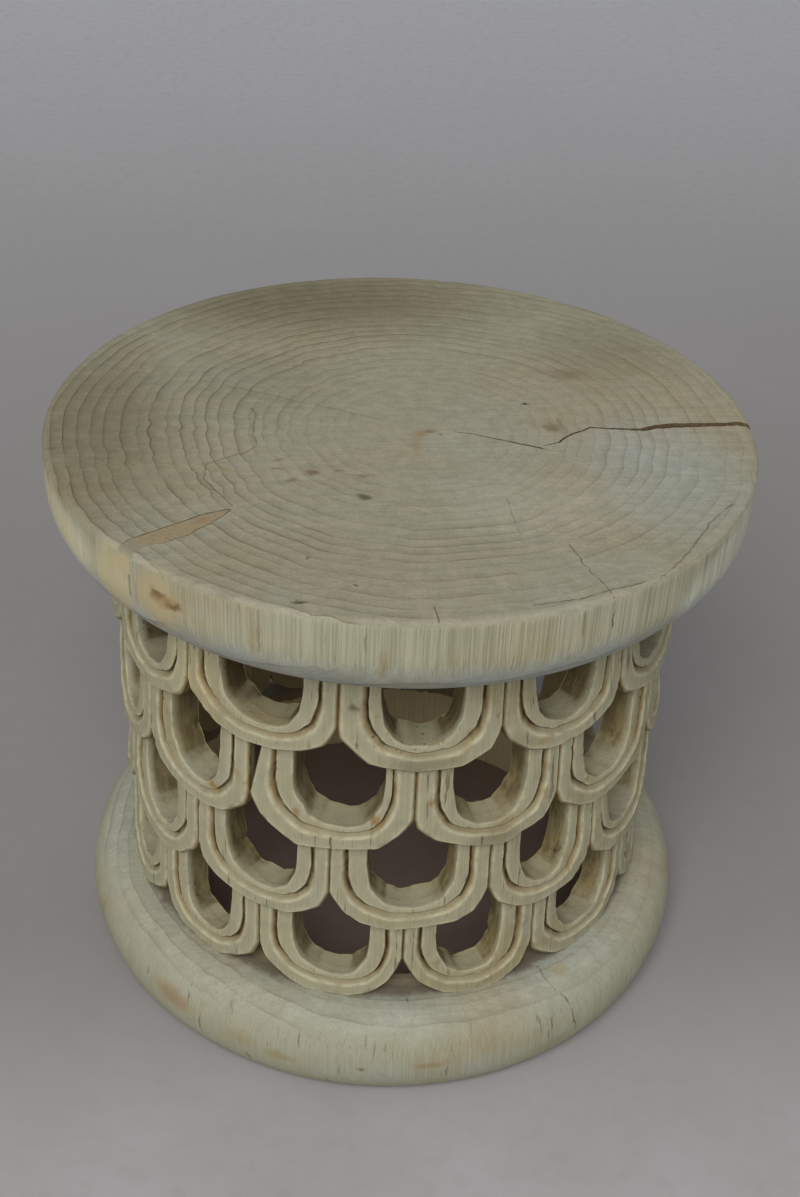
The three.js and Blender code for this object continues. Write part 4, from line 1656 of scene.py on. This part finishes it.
@dataclass
class Studio:
    """Plain pale floor, soft light and the camera at the photograph's place."""

    camera_place: Triple = (-0.11125, -1.06466, 1.01013)
    camera_turn: Triple = (55.7993, -2.1898, -4.7207)
    lens: float = 51.563
    film_height: float = 36.0
    aim: Triple = (0.0, 0.0, 0.25)
    lamps: tuple[tuple[str, Triple, float, float], ...] = (
        ("key", (-1.70, -6.02, 6.72), 5.0, 735.0),
        ("left_side", (-4.4, -1.2, 0.95), 2.5, 29.0),
        ("right_side", (4.2, -1.6, 0.95), 2.5, 19.0),
    )
    lamp_colour: Triple = (1.0, 0.985, 0.96)
    sky_strength: float = 0.33
    sky_colour: Triple = (0.93, 0.96, 1.0)
    floor_half: float = 9.0
    floor_level: float = -0.0002

    def build(self, floor_finish: bpy.types.Material) -> None:
        """Build the floor, lights, camera and view settings."""
        self._floor(floor_finish)
        self._light()
        self._camera()
        bpy.context.scene.view_settings.view_transform = "Standard"
        LOG.info("studio: floor, %d lamps, sky and camera", len(self.lamps))

    def _floor(self, finish: bpy.types.Material) -> None:
        """A wide flat floor just under the table."""
        half, level = self.floor_half, self.floor_level
        mesh = bpy.data.meshes.new("floor")
        corners = [(-half, -half, level), (half, -half, level), (half, half, level), (-half, half, level)]
        mesh.from_pydata(corners, [], [(0, 1, 2, 3)])
        mesh.materials.append(finish)
        floor = link("floor", mesh)

    def _light(self) -> None:
        """A large soft lamp in front, two weak ones low at the sides and an even sky."""
        for name, spot, size, power in self.lamps:
            self._lamp(name, spot, size, power)
        world = bpy.data.worlds.new("sky")
        world.use_nodes = True
        background = world.node_tree.nodes["Background"]
        background.inputs["Color"].default_value = (*self.sky_colour, 1.0)
        background.inputs["Strength"].default_value = self.sky_strength
        bpy.context.scene.world = world

    def _lamp(self, name: str, spot: Triple, size: float, power: float) -> None:
        """One soft square lamp, aimed at the table.

        Args:
            name: its name.
            spot: where it hangs, in metres.
            size: its side, in metres.
            power: its power.
        """
        lamp = bpy.data.lights.new(name, "AREA")
        lamp.shape = "SQUARE"
        lamp.size = size
        lamp.energy = power
        lamp.color = self.lamp_colour
        hung = link(name, lamp)
        hung.location = spot
        hung.rotation_euler = (Vector(self.aim) - Vector(spot)).to_track_quat("-Z", "Y").to_euler()

    def _camera(self) -> None:
        """The camera, from the fit to the outlines in the photograph."""
        lens = bpy.data.cameras.new("camera")
        lens.sensor_fit = "VERTICAL"
        lens.sensor_height = self.film_height
        lens.lens = self.lens
        lens.clip_start = 0.02
        lens.dof.use_dof = False
        camera = link("camera", lens)
        camera.location = self.camera_place
        camera.rotation_euler = Euler([math.radians(angle) for angle in self.camera_turn], "XYZ")
        bpy.context.scene.camera = camera


# ---- the table's own finishes ----

KNOT = paint(72, 60, 40)
BROWN = paint(104, 84, 54)
RUST = paint(128, 96, 44)
TAN = paint(138, 126, 92)
# Multipliers for the broad washes; many of their uses below are painted light and shade.
GREYER = (1.08, 1.22, 1.50, 1.0)
LIGHTER = (1.36, 1.42, 1.60, 1.0)
CREAMIER = (1.62, 1.54, 1.45, 1.0)
DARKER = (0.42, 0.38, 0.26, 1.0)
WARMER = (0.86, 0.80, 0.66, 1.0)
BROWNER = (2.10, 1.76, 1.45, 1.0)


def stain_and_light_patches(colour: Colour, *rows: Sequence) -> tuple[StainAndLightPatch, ...]:
    """Patches of one colour: stain marks, or painted light and shade.

    Args:
        colour: their colour.
        *rows: for each x, y, z, reach, strength and, where it isn't the usual one, core.

    Returns:
        The patches.
    """
    return tuple(StainAndLightPatch(*row[:4], colour, *row[4:]) for row in rows)


def top_stain_and_light_patches(colour: Colour, depth: float, *rows: Sequence[float]) -> tuple[StainAndLightPatch, ...]:
    """Patches of one colour on the top's face: stain marks, or painted light and shade.

    Args:
        colour: their colour.
        depth: how far they reach down the rim.
        *rows: for each x, y, reach in x, reach in y, strength and, if given, core.

    Returns:
        The patches.
    """
    return stain_and_light_patches(colour, *((x, y, TOP_HEIGHT, (wide, deep, depth), *rest) for x, y, wide, deep, *rest in rows))


def top_line(width: float, strength: float, *points: Pair) -> Hairline:
    """A hairline crack across the top's face."""
    return Hairline(tuple((x, y, TOP_HEIGHT) for x, y in points), width, strength)


TOP_WOOD = BareWood(
    name="End grain top",
    end_colour=paint(143, 139, 119), end_tan=paint(147, 136, 110), end_grey=paint(149, 150, 138),
    side_colour=paint(149, 147, 125), side_tan=paint(146, 134, 101), side_grey=paint(148, 149, 134),
    side_pale=paint(184, 180, 155), side_dark=paint(106, 95, 65),
    ring_colour=paint(90, 76, 51), grain=Grain.TIGHT, ring_strength=0.82, ring_waviness=0.8,
    streak_strength=0.72, speck_amount=0.15, stain_amount=0.22, bump=0.45, check_strength=0.35,
    washes=(
        *top_stain_and_light_patches(
            DARKER, 14, (-215, -10, 90, 215, 0.56, 0.1), (-60, 205, 240, 100, 0.68, 0.1),
            (165, 110, 85, 90, 0.30, 0.1), (-105, 62, 90, 90, 0.20, 0.1),
        ),
        *top_stain_and_light_patches(LIGHTER, 14, (85, -118, 95, 60, 0.40, 0.1)),
        # Painted sheen: the right of the top's face lighter, greyer and bluer.
        *top_stain_and_light_patches(GREYER, 14, (176, -70, 75, 125, 0.75, 0.1)),
        *top_stain_and_light_patches(WARMER, 14, (-110, -190, 140, 60, 0.25, 0.1)),
        # Painted light: the rim's underside lighter and bluer.
        *stain_and_light_patches(GREYER, (0, 0, 372, (400, 400, 46), 0.85, 0.68)),
        # Painted light: the rim's left side lighter and creamier.
        *stain_and_light_patches(CREAMIER, (-235, -80, 408, (85, 95, 30), 0.70, 0.4), (-195, -150, 386, (80, 80, 24), 0.25, 0.3)),
        # Painted light: the rim's right side lighter.
        *stain_and_light_patches(LIGHTER, (228, -118, 398, (90, 140, 38), 1.0, 0.75)),
    ),
    stain_and_light_patches=(
        # Tan patches on the rim's left by the filler: a real stain, lightened with painted light.
        *stain_and_light_patches(paint(172, 161, 126), (-195, -157, 405, (24, 24, 40), 0.80, 0.4)),
        *stain_and_light_patches(paint(165, 150, 114), (-166, -187, 412, (26, 26, 30), 0.75, 0.3)),
        *stain_and_light_patches(TAN, (-108, -226, 405, (5, 5, 26), 0.5)),
        *top_stain_and_light_patches(TAN, 12, (-30, -96, 4, 4, 0.7), (-124, -68, 7, 5, 0.7)),
        *stain_and_light_patches(RUST, (-161, -191, 414, (16, 16, 8), 0.5), (-30, -248, 400, (6, 6, 22), 0.35)),
        *top_stain_and_light_patches(RUST, 12, (7, -34, 7, 26, 0.22), (10, -20, 9, 7, 0.45)),
        *top_stain_and_light_patches(
            BROWN, 12, (-66, -72, 8, 4.5, 0.75), (-89, -55, 6, 3, 0.55), (-89, -66, 6, 3, 0.55),
            (-80, -82, 9, 4, 0.6), (-47, -70, 6, 2.5, 0.5), (-33, -77, 11, 3.5, 0.55), (105, -12, 10, 9, 0.6),
            (112, -6, 3, 14, 0.4), (18, -16, 7, 4, 0.65), (130, 70, 22, 13, 0.4), (-240, -37, 5, 3, 0.6),
        ),
        *stain_and_light_patches(
            BROWN, (-104, -227, 410, (3, 3, 16), 0.35), (-166, -187, 417, (9, 9, 5), 0.9),
            (-156, -196, 412, (8, 8, 4.5), 0.95),
        ),
        *top_stain_and_light_patches(
            KNOT, 12, (-32, -104, 8, 6, 0.75), (92, 24, 5, 2, 0.9), (26, -21, 2.4, 1.8, 0.9),
            (-80, -225, 8, 2.5, 0.85), (-46, -207, 2.5, 1.8, 0.7), (-72, -176, 2.5, 1.8, 0.7),
        ),
    ),
    hairlines=(
        Hairline(((92, -165.5, 435), (100, -195.5, 435), (109.6, -219, 435), (110, -222, 433.5)), 0.8, 0.6),
        Hairline(((110, -222, 433.5), (112, -223.5, 410), (109.7, -224.7, 384)), 1.0, 0.85),
        top_line(0.9, 0.6, (60, -232), (92, -225), (109, -217), (129, -209.5), (148, -199)),
        top_line(1.1, 0.45, (148, -199), (168, -174), (188, -142), (209, -118)),
        top_line(0.8, 0.6, (0, -232), (1, -247)),
        top_line(0.7, 0.35, (60, -106), (62.5, -148)),
        top_line(1.0, 0.30, (-124, 55), (-14.6, 1.6)),
        top_line(1.0, 0.55, (-119.7, -114), (-126.7, -100), (-138.3, -78)),
        top_line(1.1, 0.40, (-138.3, -78), (-135.5, -58), (-112.5, -46), (-102, -35)),
        top_line(1.2, 0.38, (-102, -35), (-104.7, -19), (-103, 12), (-106, 19)),
        top_line(0.7, 0.35, (96, -42), (110, -48), (120, -55)),
        Hairline(((-183.7, -169.5, 431), (-183.5, -169.8, 378)), 0.9, 0.5),
        Hairline(((-188, -165, 434.5), (-178, -173, 434.5)), 1.2, 0.6),
    ),
)

CARVED_WOOD = BareWood(
    name="Knife-cut wood",
    end_colour=paint(141, 137, 114), end_tan=paint(136, 124, 93), end_grey=paint(143, 142, 125),
    side_colour=paint(147, 143, 117), side_tan=paint(134, 120, 82), side_grey=paint(144, 145, 127),
    side_pale=paint(176, 171, 143), side_dark=paint(104, 94, 64),
    ring_colour=paint(104, 90, 60), grain=Grain.BROAD, ring_strength=0.60, ring_waviness=1.0,
    streak_strength=0.34, speck_amount=0.20, stain_amount=0.37, bump=0.5, check_strength=0.6, carved=True,
    washes=(
        # Painted shade: the upper tier under the top and the windows on the left darker; one second-tier foot darker in
        # tone.
        *stain_and_light_patches(
            DARKER, (2, -209, 293, (46, 20, 12), 0.45), (62, -200, 300, (30, 20, 12), 0.42),
            (56, -200, 219, (30, 20, 12), 0.45), (-112, -147, 338, (20, 20, 40), 0.50, 0.3),
            (-112, -146, 185, (22, 22, 40), 0.50, 0.3),
        ),
        *stain_and_light_patches(WARMER, (-30, -208, 150, (60, 20, 12), 0.4)),
        # Painted light: the upper tier's far left lighter and creamier.
        *stain_and_light_patches(CREAMIER, (-150, -145, 330, (40, 40, 50), 0.30)),
    ),
    stain_and_light_patches=(
        *stain_and_light_patches(
            KNOT, (-44, -202, 336, (4.5, 5, 5), 0.7), (-41, -203, 307, (1.2, 5, 4), 0.7),
            (-31, -205, 313, (2.5, 5, 1.8), 0.8), (-22, -206, 306.5, (2.5, 5, 1.6), 0.8),
        ),
        *stain_and_light_patches(
            RUST, (9, -205, 309, (9, 8, 2.6), 0.75), (49, -201, 328, (2.6, 5, 2), 0.6),
            (-77, -192, 292, (9, 9, 2.6), 0.7), (-30, -203, 242, (10, 9, 5.5), 0.85),
            (-80, -189, 238, (4, 6, 6), 0.6), (10, -205, 259, (3.6, 6, 5), 0.7),
            (-136, -153, 234, (9, 9, 5), 0.8), (-60, -195, 150, (8, 8, 4), 0.4),
            (60, -195, 230, (14, 8, 4), 0.35), (-52, -192, 92, (10, 8, 5), 0.4),
            (-150, -138, 300, (10, 10, 12), 0.45),
        ),
        *stain_and_light_patches(BROWN, (-81, -188, 218, (2, 5, 4), 0.8), (-120, -166, 225, (7, 7, 4), 0.6)),
    ),
    mould=stain_and_light_patches(KNOT, (-4, -194, 312, (38, 26, 18), 0.95), (-146, -146, 345, (7, 7, 26), 0.6)),
    hairlines=(
        Hairline(((-57.5, -198.8, 230), (-56.2, -199.8, 212)), 1.1, 0.75),
        Hairline(((-54.6, -200, 233), (-52.6, -200.6, 219)), 1.0, 0.6),
        Hairline(((46.1, -202, 232), (47.3, -201.8, 214)), 1.0, 0.65),
        Hairline(((-90, -187, 300), (-88, -188, 288)), 1.0, 0.6),
        Hairline(((12, -207, 262), (9, -207, 256)), 0.6, 0.6),
    ),
)

BASE_WOOD = BareWood(
    name="Rasped base wood",
    end_colour=paint(149, 148, 130), end_tan=paint(149, 140, 113), end_grey=paint(149, 152, 139),
    side_colour=paint(146, 145, 124), side_tan=paint(142, 129, 97), side_grey=paint(150, 151, 136),
    side_pale=paint(170, 168, 147), side_dark=paint(114, 105, 77),
    ring_colour=paint(96, 86, 62), grain=Grain.BROAD, ring_strength=0.70, ring_waviness=0.4,
    streak_strength=0.42, speck_amount=0.10, stain_amount=0.26, bump=0.45,
    washes=(
        # Painted light: the ring's hollow inside brighter and browner, as light bounced off the wood.
        *stain_and_light_patches(BROWNER, (0, 0, 30, (195, 195, 400), 1.0, 0.96)),
        *stain_and_light_patches(GREYER, (130, -175, 68, (85, 80, 34), 0.40), (10, -236, 26, (150, 40, 18), 0.30)),
    ),
    stain_and_light_patches=(
        # Painted shade: the base's top dark where the drum stands on it and inside it.
        *stain_and_light_patches(paint(84, 70, 52), (0, 0, 71, (206, 206, 22), 0.75, 0.96)),
        *stain_and_light_patches(paint(150, 136, 98), (116.8, -180.7, 70.5, (10, 6, 8), 0.55, 0.3)),
        *stain_and_light_patches(BROWN, (-33, -235, 32, (6, 6, 3), 0.8)),
        *stain_and_light_patches(
            TAN, (-92, -219, 31, (18, 16, 8), 0.7), (-206, -117, 66, (10, 34, 8), 0.4),
            (-120, -204, 36, (20, 18, 10), 0.5), (110, -210, 24, (40, 20, 10), 0.4),
        ),
        *stain_and_light_patches(RUST, (16, -236, 35, (20, 12, 5), 0.4), (-170, -165, 40, (34, 26, 14), 0.5)),
    ),
    hairlines=(
        Hairline(((100, -177.4, 71), (103.9, -186.7, 70.4), (112.4, -195.3, 64.2), (119.9, -197.2, 57.7)), 1.0, 0.45),
        Hairline(((119.9, -197.2, 57.7), (124.4, -199.1, 49.4), (127.9, -200, 36.1), (130.6, -197.5, 25)), 1.2, 0.60),
        Hairline(((1, -204, 71), (2, -212, 71)), 0.7, 0.7),
    ),
)


def main() -> None:
    """Build the table and the studio."""
    logging.basicConfig(level=logging.INFO, format="%(name)s: %(message)s")
    TopSlab().build(TOP_WOOD.material(), TornWood().material(), FillerPaste().material())
    ScaleDrum().build(CARVED_WOOD.material())
    BaseRing().build(BASE_WOOD.material())
    Studio().build(StudioFloor().material())


if __name__ == "__main__":
    main()
